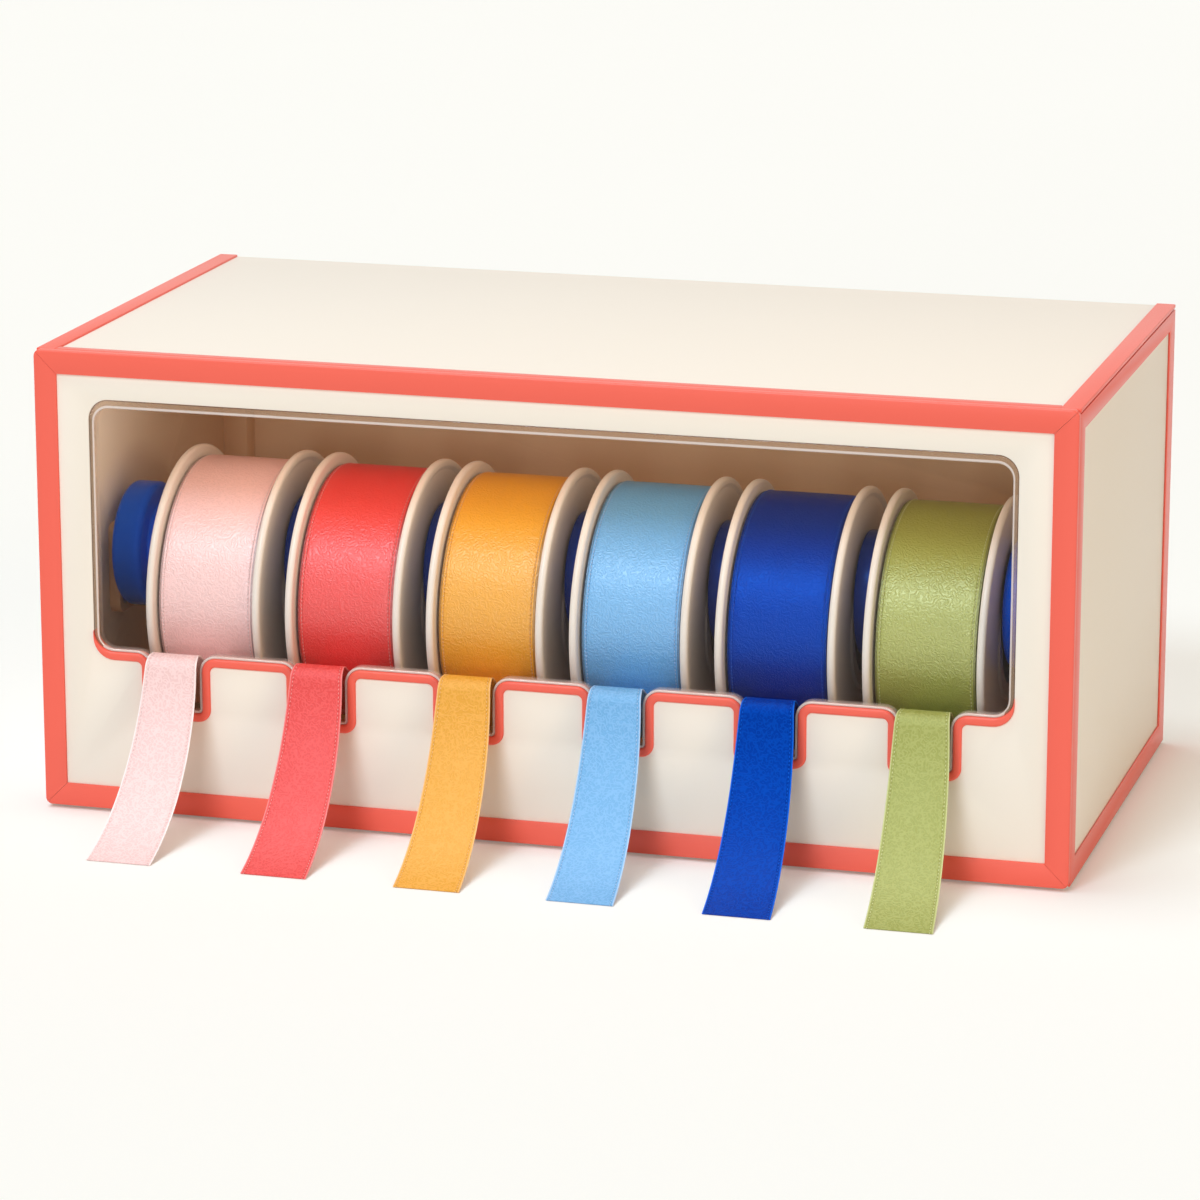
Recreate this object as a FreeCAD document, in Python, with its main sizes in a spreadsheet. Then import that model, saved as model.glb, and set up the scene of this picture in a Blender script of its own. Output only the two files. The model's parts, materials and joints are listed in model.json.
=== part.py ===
import FreeCAD, Part
import math
import os

import Sketcher

# Ribbon spool dispenser: a lidded board case with a glazed front. Six ribbon spools turn
# on one removable spindle, and their ribbons come out through slots over six notches in
# the front board. Millimetres. +X is to the right, +Y to the back and +Z up. The origin
# is on the counter, under the middle of the case.

doc = FreeCAD.newDocument("ribbon_dispenser")
Vec = FreeCAD.Vector

spool_count = 6
knuckle_count = 5

driving = {
    # case, over its coral edge trim; its width follows from the row of spools
    "case_depth": 206,
    "case_height": 180,
    "mat_thick": 1.2,            # non-slip sheet that the case stands on
    "mat_inset": 12,
    # boards
    "panel_thick": 7,
    "side_thick": 5.5,
    "front_thick": 6,
    "lid_thick": 8,
    "batten_side": 10,
    "rail_depth": 8,
    "rail_height": 7.5,
    # coral edge trim
    "trim_width": 9,
    "back_trim_width": 11,
    "trim_proud": 0.8,           # how far the trim stands out of the cream boards
    "frame_thick": 3,            # mitred rails round the front
    "frame_round": 1.3,
    "lid_strip": 1.6,
    "lid_leg": 1,
    "seam": 0.5,                 # open joint round the lid and behind the front rails
    "lid_gap": 0.3,
    # window and the notches under it
    "window_end": 19.2,          # from the last notch to the end of the window
    "window_head": 18,           # from the top of the window to the top of the case
    "sill_height": 60.6,
    "notch_floor": 38.7,
    "notch_half": 13.8,
    "notch_spread": 1.9,         # notches stand this much further apart than the spools
    "window_round": 8,
    "shoulder_round": 2.2,
    "floor_round": 5,
    "trim_band": 3.3,            # coral trim along the sill and round the notches
    "trim_end_gap": 0.3,
    # clear window sheet
    "insert_thick": 4.5,
    "pane_recess": 1.4,
    "rim_band": 1.1,             # raised bead beside the coral trim
    "rim_side": 2.2,
    "rim_top": 3.3,
    "rim_floor_round": 0.6,
    "slot_half": 11,
    "slot_height": 3,
    "slot_drop": 0,              # lower lip of the slot below the trim's top edge
    # spindle
    "spool_pitch": 56.3,
    "axis_back": 70,             # from the front face to the spindle
    "axis_height": 89.6,
    "rod_radius": 5,
    "rod_end_gap": 0.5,
    "bearing_clear": 0.05,
    "side_gap": 0.3,             # end play between pieces that turn apart
    "hub_radius": 24.5,
    "hub_thick": 12,
    "hub_round": 2.5,
    "hub_neck": 16,
    "neck_length": 12.85,
    "spacer_radius": 24,
    "cradle_thick": 4.5,
    "cradle_half": 14,
    "cradle_drop": 26,
    "cradle_rise": 10,
    "cradle_round": 4,
    # spools and ribbons
    "flange_radius": 53,
    "flange_thick": 3,
    "flange_round": 1.3,
    "spool_inside": 40,
    "core_bore": 18,             # wide bore that hangs on the rod
    "core_wall": 1.8,
    "hang_gap": 0.1,             # left between the top of the rod and the bore
    "roll_radius": 49,
    "roll_bore_clear": 0.1,
    "ribbon_width": 38,
    "ribbon_thick": 0.6,
    "roll_gap": 0.3,             # from a wound roll to the end that leaves it
    "crest_gap": 0.4,            # from the slot's lower lip to the ribbon over it
    "crest_round": 5.5,          # of the bend over the notch, on the ribbon's middle
    "crest_inset": 0.5,          # of the bend's middle behind the front face
    "fall_angle": 77,            # degrees, just outside the slot
    "rest_angle": 17,            # degrees, where the cut end meets the counter
    "throat_half": 9.3,          # ribbon drawn together in the slot
    "tail_half": 12.6,           # and spread again at its cut end
    # hinges
    "hinge_inset": 70,           # from the side of the case to the middle of a hinge
    "hinge_width": 24,
    "leaf_thick": 0.9,
    "leaf_depth": 6.2,
    "barrel_radius": 2.2,
    "barrel_gap": 0.4,
    "knuckle_gap": 0.3,
    "pin_radius": 1.1,
    "pin_clear": 0.05,
    "pin_end": 0.5,
    # screws
    "screw_radius": 1.5,
    "screw_head": 3,
    "screw_length": 13,
    "cradle_screw_length": 8.5,
    "cradle_screw_inset": 6,
    "leaf_screw_radius": 1,
    "leaf_screw_head": 1.8,
    "leaf_screw_length": 5,
    "leaf_screw_spread": 14,
    "hole_clear": 0.05,
}

sheet = doc.addObject("Spreadsheet::Sheet", "dims")
for row, (alias, value) in enumerate(driving.items(), 1):
    sheet.set(f"A{row}", alias)
    sheet.set(f"B{row}", str(value))
    sheet.setAlias(f"B{row}", alias)
doc.recompute()

nodes = []


def val(text):
    """Value of an expression on the sheet's cells."""
    return float(sheet.evalExpression(text.replace("dims.", "")))


# ---- named places, as expressions on the sheet ----

spool_half = "(dims.spool_inside / 2 + dims.flange_thick)"
last_spool = f"({(spool_count - 1) / 2} * dims.spool_pitch)"
neck_in = f"({last_spool} + {spool_half} + dims.side_gap)"
hub_out = f"({neck_in} + dims.neck_length + dims.hub_thick)"
cradle_in = f"({hub_out} + dims.side_gap)"
side_in = f"({cradle_in} + dims.cradle_thick)"
side_out = f"({side_in} + dims.side_thick)"
half = f"({side_out} + dims.trim_proud)"
front = "(-dims.case_depth / 2)"
back = "(dims.case_depth / 2)"
under = "dims.mat_thick"
top = "dims.case_height"
cream_front = f"({front} + dims.trim_proud)"
frame_back = f"({front} + dims.frame_thick)"
front_in = f"({cream_front} + dims.front_thick)"
back_in = f"({back} - dims.panel_thick)"
base_top = f"({under} + dims.panel_thick)"
lid_top = f"({top} - dims.trim_proud)"
lid_under = f"({lid_top} - dims.lid_thick)"
strip_under = f"({top} - dims.lid_strip)"
wall_top = f"({strip_under} - dims.seam)"
back_top = f"({lid_under} - dims.seam)"
strip_front = f"({frame_back} + dims.seam)"
lid_leg_half = f"({side_in} - dims.lid_gap)"
lid_half = f"({lid_leg_half} - dims.lid_leg)"
lid_leg_front = f"({front_in} + dims.lid_gap)"
lid_front = f"({lid_leg_front} + dims.lid_leg)"
insert_back = f"({cream_front} + dims.insert_thick)"
last_notch = f"({(spool_count - 1) / 2} * (dims.spool_pitch + dims.notch_spread))"
window_half = f"({last_notch} + dims.notch_half + dims.window_end)"
window_top = f"({top} - dims.window_head)"
trim_sill = "(dims.sill_height + dims.trim_band)"
slot_floor = f"({trim_sill} - dims.slot_drop)"
axis_y = f"({front} + dims.axis_back)"
axis_z = "dims.axis_height"
spool_z = f"({axis_z} + dims.rod_radius + dims.hang_gap - dims.core_bore)"
batten_in = f"({side_in} - dims.batten_side)"
batten_front = f"({back_in} - dims.batten_side)"
hinge_y = f"({back} + dims.barrel_radius + dims.barrel_gap)"
hinge_z = f"({back_top} + dims.seam / 2)"

# The ribbon leaves the underside of its roll and meets the bend over the notch on the line
# that touches both.
off_roll = "(dims.roll_radius + dims.roll_gap + dims.ribbon_thick / 2)"
crest_y = f"({front} + dims.crest_inset)"
crest_z = f"({slot_floor} + dims.crest_gap + dims.ribbon_thick / 2 - dims.crest_round)"
crest_run = f"({axis_y} - {crest_y})"
crest_drop = f"({spool_z} - {crest_z})"
crest_reach = f"sqrt({crest_run} * {crest_run} + {crest_drop} * {crest_drop})"
rise_angle = (f"((asin(({off_roll} + dims.crest_round) / {crest_reach})"
              f" - atan({crest_drop} / {crest_run})) / 1 deg)")


def spool_x(number):
    """Middle of a spool, counted from 0 at the left."""
    return f"({number - (spool_count - 1) / 2} * dims.spool_pitch)"


def notch_x(number):
    """Middle of a notch and of the ribbon in it, counted from 0 at the left."""
    return f"({number - (spool_count - 1) / 2} * (dims.spool_pitch + dims.notch_spread))"


# ---- ways to make a piece ----

def keep(obj, label):
    """Give a finished piece its node's name and hand it on to the export."""
    obj.Label = label
    nodes.append(obj)
    return obj


def bind(obj, **expressions):
    """Bind properties to the sheet; x, y and z are the placement's base."""
    for name, text in expressions.items():
        path = f".Placement.Base.{name}" if name in ("x", "y", "z") else name
        obj.setExpression(path, text)
    return obj


def board(name, low, high):
    """A plain board or block between two corners."""
    obj = doc.addObject("Part::Box", name)
    sizes = [f"({b}) - ({a})" for a, b in zip(low, high)]
    return bind(obj, Length=sizes[0], Width=sizes[1], Height=sizes[2], x=low[0], y=low[1], z=low[2])


def cut(name, base, *tools):
    """Base less its tools, one Part::Cut each."""
    for number, tool in enumerate(tools):
        obj = doc.addObject("Part::Cut", f"{name}_{number}")
        obj.Base = base
        obj.Tool = tool
        base = obj
    return base


def fuse(name, pieces):
    obj = doc.addObject("Part::MultiFuse", name)
    obj.Shapes = pieces
    obj.Refine = True
    return obj


def loose(name, shapes):
    """Solids made with Part's own functions, in one feature."""
    obj = doc.addObject("Part::Feature", name)
    obj.Shape = shapes[0] if len(shapes) == 1 else Part.makeCompound(shapes)
    return obj


def pin_point(sketch, line, kind, text):
    """Fix one coordinate of a line's first point to an expression."""
    value = val(text)
    axis = -2 if kind == "DistanceX" else -1
    if abs(value) < 1e-9:
        sketch.addConstraint(Sketcher.Constraint("PointOnObject", line, 1, axis))
    elif value > 0:
        row = sketch.addConstraint(Sketcher.Constraint(kind, -1, 1, line, 1, value))
        sketch.setExpression(f"Constraints[{row}]", text)
    else:
        row = sketch.addConstraint(Sketcher.Constraint(kind, line, 1, -1, 1, -value))
        sketch.setExpression(f"Constraints[{row}]", f"-({text})")


def polygon(sketch, corners):
    """Closed outline whose every corner is bound to the sheet."""
    first = sketch.GeometryCount
    count = len(corners)
    places = [Vec(val(a), val(b), 0) for a, b in corners]
    for i in range(count):
        sketch.addGeometry(Part.LineSegment(places[i], places[(i + 1) % count]), False)
    for i in range(count):
        sketch.addConstraint(Sketcher.Constraint("Coincident", first + i, 2, first + (i + 1) % count, 1))
    for i, (a, b) in enumerate(corners):
        pin_point(sketch, first + i, "DistanceX", a)
        pin_point(sketch, first + i, "DistanceY", b)


def new_sketch(body, role, name):
    """Sketch on one of the body's own origin planes."""
    sketch = body.newObject("Sketcher::SketchObject", name)
    plane = [item for item in body.Origin.OriginFeatures if item.Role == role][0]
    sketch.AttachmentSupport = [(plane, "")]
    sketch.MapMode = "FlatFace"
    return sketch


def padded(name, role, outlines, length, **place):
    """Body padded evenly to both sides of an origin plane, from lists of corners."""
    body = doc.addObject("PartDesign::Body", name)
    sketch = new_sketch(body, role, name + "_outline")
    for corners in outlines:
        polygon(sketch, corners)
    pad = body.newObject("PartDesign::Pad", name + "_pad")
    pad.Profile = sketch
    pad.Midplane = True
    pad.setExpression("Length", length)
    bind(body, **place)
    doc.recompute()
    return body


def rounded(body, radius, wanted):
    """Round the edges of a body's tip that a test on the edge picks."""
    base = body.Tip
    names = [f"Edge{i}" for i, edge in enumerate(base.Shape.Edges, 1) if wanted(edge)]
    feature = body.newObject("PartDesign::Fillet", body.Name + "_round")
    feature.Base = (base, names)
    feature.setExpression("Radius", radius)
    doc.recompute()


def turned(name, profile, level):
    """Body revolved about a level line along X from (x, radius) corners."""
    body = doc.addObject("PartDesign::Body", name)
    sketch = new_sketch(body, "XY_Plane", name + "_profile")
    polygon(sketch, profile)
    spin = body.newObject("PartDesign::Revolution", name + "_turn")
    spin.Profile = sketch
    spin.ReferenceAxis = (sketch, ["H_Axis"])
    spin.Angle = 360
    bind(body, y=axis_y, z=level)
    doc.recompute()
    return body


def same(a, b):
    return abs(a - b) < 1e-6


def edge_at(edge, **place):
    """True if both ends of an edge have the coordinates given."""
    return all(same(getattr(v.Point, name), value) for v in edge.Vertexes for name, value in place.items())


def rim_at(edge, radius):
    """True for a full circle of a radius, as on the rim of a turned piece."""
    return isinstance(edge.Curve, Part.Circle) and same(edge.Curve.Radius, radius)


def screw(size, length, at, toward, clear=0.0):
    """Countersunk screw from the middle of its head or, with a clearance, its hole."""
    radius = val(f"dims.{size}_radius")
    head = val(f"dims.{size}_head")
    sink = head - radius
    cone = Part.makeCone(head + clear, radius + clear, sink, at, toward)
    shank = Part.makeCylinder(radius + clear, length - sink + clear, at + toward * sink, toward)
    return cone.fuse(shank).removeSplitter()


# ---- opening in the front, as three outlines one inside the other ----

def opening(name, side, head, sill, notch, floor, rounds, length, middle):
    """Prism of the window with the notches under it; rounds are (corner, shoulder, floor)."""
    corners = [(f"-{side}", sill)]
    for number in range(spool_count):
        x = notch_x(number)
        corners += [(f"{x} - {notch}", sill), (f"{x} - {notch}", floor)]
        corners += [(f"{x} + {notch}", floor), (f"{x} + {notch}", sill)]
    corners += [(side, sill), (side, head), (f"-{side}", head)]
    body = padded(name, "XZ_Plane", [corners], length, y=middle)
    sides = val(side)
    level = {"sill": val(sill), "head": val(head), "floor": val(floor)}

    def window_corner(edge):
        spot = edge.Vertexes[0].Point
        at_level = same(spot.z, level["sill"]) or same(spot.z, level["head"])
        return edge_at(edge, x=spot.x, z=spot.z) and same(abs(spot.x), sides) and at_level

    def shoulder(edge):
        spot = edge.Vertexes[0].Point
        return edge_at(edge, x=spot.x, z=level["sill"]) and abs(spot.x) < sides - 1e-3

    def notch_corner(edge):
        return edge_at(edge, x=edge.Vertexes[0].Point.x, z=level["floor"])

    for radius, wanted in zip(rounds, (shoulder, notch_corner, window_corner)):
        rounded(body, radius, wanted)
    return body


board_hole = opening(
    "board_hole", window_half, window_top, "dims.sill_height", "dims.notch_half",
    "dims.notch_floor", ("dims.shoulder_round", "dims.floor_round", "dims.window_round"),
    "4 * dims.front_thick", front)
trim_floor = "(dims.notch_floor + dims.trim_band)"
trim_notch = "(dims.notch_half - dims.trim_band)"
trim_shoulder = "(dims.shoulder_round + dims.trim_band)"
trim_hole = opening(
    "trim_hole", window_half, window_top, trim_sill, trim_notch, trim_floor,
    (trim_shoulder, "dims.floor_round - dims.trim_band", "dims.window_round"),
    "6 * dims.front_thick", front)
pane_hole = opening(
    "pane_hole", f"({window_half} - dims.rim_side)", f"({window_top} - dims.rim_top)",
    f"({trim_sill} + dims.rim_band)", f"({trim_notch} - dims.rim_band)", f"({trim_floor} + dims.rim_band)",
    (f"{trim_shoulder} + dims.rim_band", "dims.rim_floor_round", "dims.window_round - dims.rim_side"),
    "2 * dims.pane_recess", cream_front)

# ---- case boards ----

mat_x = f"({half} - dims.mat_inset)"
mat_y = f"({back} - dims.mat_inset)"
keep(board("mat_sheet", [f"-{mat_x}", f"-{mat_y}", "0"], [mat_x, mat_y, under]), "base_mat")
keep(board("base_board", [f"-{side_in}", front_in, under], [side_in, back_in, base_top]), "base_panel")

cradle_screw_z = f"({axis_z} - dims.cradle_drop + dims.cradle_screw_inset)"
cradle_screw_y = "(dims.cradle_half - dims.cradle_screw_inset)"


def cradle_fixings(outward, clear):
    """Screws of one cradle, or their holes, from its inner face into the side board."""
    places = [Vec(outward * val(cradle_in), val(f"{axis_y} + {step} * {cradle_screw_y}"), val(cradle_screw_z))
              for step in (-1, 1)]
    length = val("dims.cradle_screw_length")
    return [screw("screw", length, place, Vec(outward, 0, 0), clear) for place in places]


def back_fixings(outward, clear):
    """Screws through the back board into one corner batten, or their holes."""
    x = outward * val(f"{side_in} - dims.batten_side / 2")
    heights = [val(f"{base_top} + {share} * ({back_top} - {base_top})") for share in (0.15, 0.5, 0.85)]
    return [screw("screw", val("dims.screw_length"), Vec(x, val(back), z), Vec(0, -1, 0), clear) for z in heights]


clearance = val("dims.hole_clear")
sides = {"left": -1, "right": 1}


def across(outward, near, far):
    """Low and high X of a piece on one side, from its inner and outer distances."""
    return (near, far) if outward > 0 else (f"-{far}", f"-{near}")


for name, outward in sides.items():
    low, high = across(outward, side_in, side_out)
    plain = board(f"{name}_side_board", [low, front_in, under], [high, back, wall_top])
    holes = loose(f"{name}_side_holes", cradle_fixings(outward, clearance))
    keep(cut(f"{name}_side", plain, holes), f"{name}_side_panel")

# The front board is rebated all round for the mitred rails.
plate = board("front_plate", [f"-{side_out}", frame_back, under], [side_out, front_in, wall_top])
field_x = f"({half} - dims.trim_width)"
field_low = f"({under} + dims.trim_width)"
field_top = f"({top} - dims.trim_width)"
field = board("front_field", [f"-{field_x}", cream_front, field_low], [field_x, front_in, field_top])
keep(cut("front_board", fuse("front_blank", [plate, field]), board_hole), "front_panel")

# ---- clear window sheet and coral trim in the opening ----

trim_reach = f"({window_half} - dims.trim_end_gap)"
trim_block = board("trim_block", [f"-{trim_reach}", front, "dims.notch_floor - dims.trim_band"],
                   [trim_reach, insert_back, f"{window_top} - dims.window_round"])
trim_blank = doc.addObject("Part::Common", "trim_blank")
trim_blank.Base = trim_block
trim_blank.Tool = board_hole
opening_trim = keep(cut("trim_ring", trim_blank, trim_hole), "opening_trim")

insert_block = board("insert_block", [f"-{window_half}", cream_front, "dims.notch_floor"],
                     [window_half, insert_back, window_top])
insert_blank = doc.addObject("Part::Common", "insert_blank")
insert_blank.Base = insert_block
insert_blank.Tool = board_hole
slots = []
for number in range(spool_count):
    x = notch_x(number)
    slot = board(f"slot_{number + 1}", [f"{x} - dims.slot_half", f"{front} - dims.front_thick", "0"],
                 [f"{x} + dims.slot_half", f"{front} + 2 * dims.front_thick", "dims.slot_height"])
    # It rises towards the front, as the ribbon does, to its lower lip in the sheet's face.
    slot.Placement.Rotation = FreeCAD.Rotation(Vec(-1, 0, 0), 1)
    slot.setExpression(".Placement.Rotation.Angle", rise_angle)
    slot.setExpression(".Placement.Base.z",
                       f"{slot_floor} + (dims.front_thick + dims.trim_proud) * tan({rise_angle})")
    slots.append(slot)
keep(cut("insert_sheet", insert_blank, opening_trim, pane_hole, *slots), "window_insert")

# ---- mitred rails round the front and flat trim on the sides ----

rails = {
    "top": [(f"-{half}", top), (f"-{field_x}", field_top), (field_x, field_top), (half, top)],
    "bottom": [(f"-{half}", under), (half, under), (field_x, field_low), (f"-{field_x}", field_low)],
    "left": [(f"-{half}", under), (f"-{field_x}", field_low), (f"-{field_x}", field_top), (f"-{half}", top)],
    "right": [(half, under), (half, top), (field_x, field_top), (field_x, field_low)],
}
outer_edges = {"top": ("z", top), "bottom": ("z", under), "left": ("x", f"-{half}"), "right": ("x", half)}
for name, corners in rails.items():
    rail = padded(f"rail_{name}", "XZ_Plane", [corners], "dims.frame_thick", y=f"{front} + dims.frame_thick / 2")
    direction, distance = outer_edges[name]
    place = {direction: val(distance), "y": -val("dims.frame_thick / 2")}
    rounded(rail, "dims.frame_round", lambda edge: edge_at(edge, **place))
    keep(rail, f"front_frame_{name}")

for name, outward in sides.items():
    outer = [(strip_front, under), (back, under), (back, wall_top), (strip_front, wall_top)]
    ring_front = f"({strip_front} + dims.trim_width)"
    ring_back = f"({back} - dims.back_trim_width)"
    inner = [(ring_front, field_low), (ring_back, field_low), (ring_back, field_top), (ring_front, field_top)]
    middle = f"{outward} * ({half} - dims.trim_proud / 2)"
    keep(padded(f"{name}_side_ring", "YZ_Plane", [outer, inner], "dims.trim_proud", x=middle), f"{name}_side_frame")

# ---- inside the case: battens, cleats and the rail under the lid's front ----

for name, outward in sides.items():
    low, high = across(outward, batten_in, side_in)
    batten = board(f"{name}_batten", [low, batten_front, base_top], [high, back_in, back_top])
    holes = loose(f"{name}_batten_holes", back_fixings(outward, clearance))
    keep(cut(f"{name}_batten_drilled", batten, holes), f"back_{name}_batten")
    cleat_top = f"{base_top} + dims.batten_side"
    keep(board(f"{name}_cleat", [low, front_in, base_top], [high, batten_front, cleat_top]), f"{name}_floor_cleat")

keep(board("rest_rail", [f"-{side_in}", front_in, f"{back_top} - dims.rail_height"],
           [side_in, f"{front_in} + dims.rail_depth", back_top]), "lid_rest_rail")

# ---- cradles: brackets with an open-topped U that holds the spindle ----

seat_radius = "(dims.rod_radius + dims.bearing_clear)"
for name, outward in sides.items():
    low, high = across(outward, cradle_in, side_in)
    bed_low = f"{axis_z} - dims.cradle_drop"
    bed_high = f"{axis_z} + dims.cradle_rise"
    outline = [(f"{axis_y} - dims.cradle_half", bed_low), (f"{axis_y} + dims.cradle_half", bed_low),
               (f"{axis_y} + dims.cradle_half", bed_high), (f"{axis_y} - dims.cradle_half", bed_high)]
    block = padded(f"{name}_cradle_block", "YZ_Plane", [outline], "dims.cradle_thick",
                   x=f"{outward} * ({side_in} - dims.cradle_thick / 2)")
    corners = [(val(y), val(z)) for y, z in outline]
    rounded(block, "dims.cradle_round", lambda edge: any(edge_at(edge, y=y, z=z) for y, z in corners))
    seat = doc.addObject("Part::Cylinder", f"{name}_cradle_seat")
    seat.Placement.Rotation = FreeCAD.Rotation(Vec(0, 1, 0), 90)
    bind(seat, Radius=seat_radius, Height="3 * dims.cradle_thick", x=f"{low} - dims.cradle_thick", y=axis_y, z=axis_z)
    mouth = board(f"{name}_cradle_mouth", [f"{low} - dims.cradle_thick", f"{axis_y} - {seat_radius}", axis_z],
                  [f"{high} + dims.cradle_thick", f"{axis_y} + {seat_radius}", f"{bed_high} + dims.cradle_rise"])
    holes = loose(f"{name}_cradle_holes", cradle_fixings(outward, clearance))
    keep(cut(f"{name}_cradle_cut", block, seat, mouth, holes), f"{name}_cradle")

keep(loose("cradle_fixings", cradle_fixings(-1, 0) + cradle_fixings(1, 0)), "cradle_screws")

# ---- hinges at the back: leaves let into the boards, five knuckles on one pin ----

hinge_places = [-val(f"{half} - dims.hinge_inset"), val(f"{half} - dims.hinge_inset")]
knuckle = val(f"(dims.hinge_width - {knuckle_count - 1} * dims.knuckle_gap) / {knuckle_count}")
right = Vec(1, 0, 0)


def leaf_block(middle, low, thick):
    """Flat plate of one leaf, let into a board from its back edge."""
    width = val("dims.hinge_width")
    depth = val("dims.leaf_depth")
    return Part.makeBox(width, depth, thick, Vec(middle - width / 2, val(back) - depth, low))


def leaf_fixings(middle, level, upward, clear):
    """Two screws of a leaf, or their holes, from its flush face into the board."""
    y = val(f"{back} - dims.leaf_depth / 2")
    reach = val("dims.leaf_screw_spread / 2")
    length = val("dims.leaf_screw_length")
    places = [Vec(middle + step * reach, y, level) for step in (-1, 1)]
    return [screw("leaf_screw", length, place, Vec(0, 0, upward), clear) for place in places]


def leaf(middle, level, upward, first):
    """Leaf with its flush face at a level and every second knuckle, starting at the first."""
    thick = val("dims.leaf_thick")
    low = level if upward > 0 else level - thick
    shape = leaf_block(middle, low, thick)
    start = middle - val("dims.hinge_width / 2")
    for number in range(first, knuckle_count, 2):
        x = start + number * (knuckle + val("dims.knuckle_gap"))
        shape = shape.fuse(Part.makeBox(knuckle, val(f"{hinge_y} - {back}"), thick, Vec(x, val(back), low)))
        barrel = Part.makeCylinder(val("dims.barrel_radius"), knuckle, Vec(x, val(hinge_y), val(hinge_z)), right)
        shape = shape.fuse(barrel)
    bore = val("dims.pin_radius + dims.pin_clear")
    shape = shape.cut(Part.makeCylinder(bore, val("dims.hinge_width"), Vec(start, val(hinge_y), val(hinge_z)), right))
    for hole in leaf_fixings(middle, level, upward, clearance):
        shape = shape.cut(hole)
    return shape.removeSplitter()


def hinge_pin(middle):
    reach = val("dims.hinge_width / 2 + dims.pin_end")
    pin = Part.makeCylinder(val("dims.pin_radius"), 2 * reach, Vec(middle - reach, val(hinge_y), val(hinge_z)), right)
    ends = [edge for edge in pin.Edges if isinstance(edge.Curve, Part.Circle)]
    return pin.makeChamfer(val("dims.pin_radius / 4"), ends)


thin = val("dims.leaf_thick")
case_mortises = []
lid_mortises = []
case_leaf_screws = []
lid_leaf_screws = []
for (name, outward), middle in zip(sides.items(), hinge_places):
    keep(loose(f"{name}_case_leaf", [leaf(middle, val(back_top), -1, 0)]), f"{name}_hinge_case_leaf")
    keep(loose(f"{name}_lid_leaf", [leaf(middle, val(lid_under), 1, 1)]), f"{name}_hinge_lid_leaf")
    case_mortises += [leaf_block(middle, val(back_top) - thin, thin)] + leaf_fixings(middle, val(back_top), -1, clearance)
    lid_mortises += [leaf_block(middle, val(lid_under), thin)] + leaf_fixings(middle, val(lid_under), 1, clearance)
    case_leaf_screws += leaf_fixings(middle, val(back_top), -1, 0)
    lid_leaf_screws += leaf_fixings(middle, val(lid_under), 1, 0)
keep(loose("pins", [hinge_pin(middle) for middle in hinge_places]), "hinge_pins")

back_blank = board("back_board", [f"-{side_in}", back_in, under], [side_in, back, back_top])
back_holes = loose("back_holes", case_mortises + back_fixings(-1, clearance) + back_fixings(1, clearance))
keep(cut("back_drilled", back_blank, back_holes), "back_panel")
keep(loose("case_fixings", back_fixings(-1, 0) + back_fixings(1, 0) + case_leaf_screws), "case_screws")
keep(loose("lid_fixings", lid_leaf_screws), "hinge_lid_screws")

# ---- lid: board with coral edge strips of an L section ----

lid_blank = board("lid_board", [f"-{lid_half}", lid_front, lid_under], [lid_half, back, lid_top])
keep(cut("lid_drilled", lid_blank, loose("lid_holes", lid_mortises)), "lid_panel")
for name, outward in sides.items():
    low, high = across(outward, lid_half, half)
    cap = board(f"{name}_lid_cap", [low, strip_front, strip_under], [high, back, top])
    low, high = across(outward, lid_half, lid_leg_half)
    leg = board(f"{name}_lid_leg", [low, lid_front, lid_under], [high, back, top])
    keep(fuse(f"{name}_lid_edge", [cap, leg]), f"lid_{name}_trim")
front_cap = board("front_lid_cap", [f"-{lid_half}", strip_front, strip_under], [lid_half, lid_front, top])
front_leg = board("front_lid_leg", [f"-{lid_half}", lid_leg_front, lid_under], [lid_half, lid_front, top])
keep(fuse("front_lid_edge", [front_cap, front_leg]), "lid_front_trim")

# ---- spindle: rod with a hub near each end and a spacer between spools ----

rod = doc.addObject("Part::Cylinder", "rod")
rod.Placement.Rotation = FreeCAD.Rotation(Vec(0, 1, 0), 90)
rod_reach = f"({side_in} - dims.rod_end_gap)"
bind(rod, Radius="dims.rod_radius", Height=f"2 * {rod_reach}", x=f"-{rod_reach}", y=axis_y, z=axis_z)
keep(rod, "spindle_rod")

rod_bore = "(dims.rod_radius + dims.bearing_clear)"
hub_length = "(dims.hub_thick + dims.neck_length)"
# The two hubs are alike and face the same way: the left one's neck and the right one's disc
# are next to the spools.
for name, place in {"left": f"-{hub_out}", "right": neck_in}.items():
    hub = turned(f"hub_{name}", [
        ("0", rod_bore), ("0", "dims.hub_radius"), ("dims.hub_thick", "dims.hub_radius"),
        ("dims.hub_thick", "dims.hub_neck"), (hub_length, "dims.hub_neck"), (hub_length, rod_bore)], axis_z)
    rounded(hub, "dims.hub_round", lambda edge: rim_at(edge, val("dims.hub_radius")))
    keep(bind(hub, x=place), f"{name}_hub")

spacer_half = f"(dims.spool_pitch / 2 - {spool_half} - dims.side_gap)"
for number in range(spool_count - 1):
    spacer = turned(f"spacer_body_{number + 1}", [
        (f"-{spacer_half}", rod_bore), (f"-{spacer_half}", "dims.spacer_radius"),
        (spacer_half, "dims.spacer_radius"), (spacer_half, rod_bore)], axis_z)
    bind(spacer, x=f"({spool_x(number)} + {spool_x(number + 1)}) / 2")
    keep(spacer, f"spacer_{number + 1}")

# ---- spools and the ribbon wound on them ----

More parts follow.
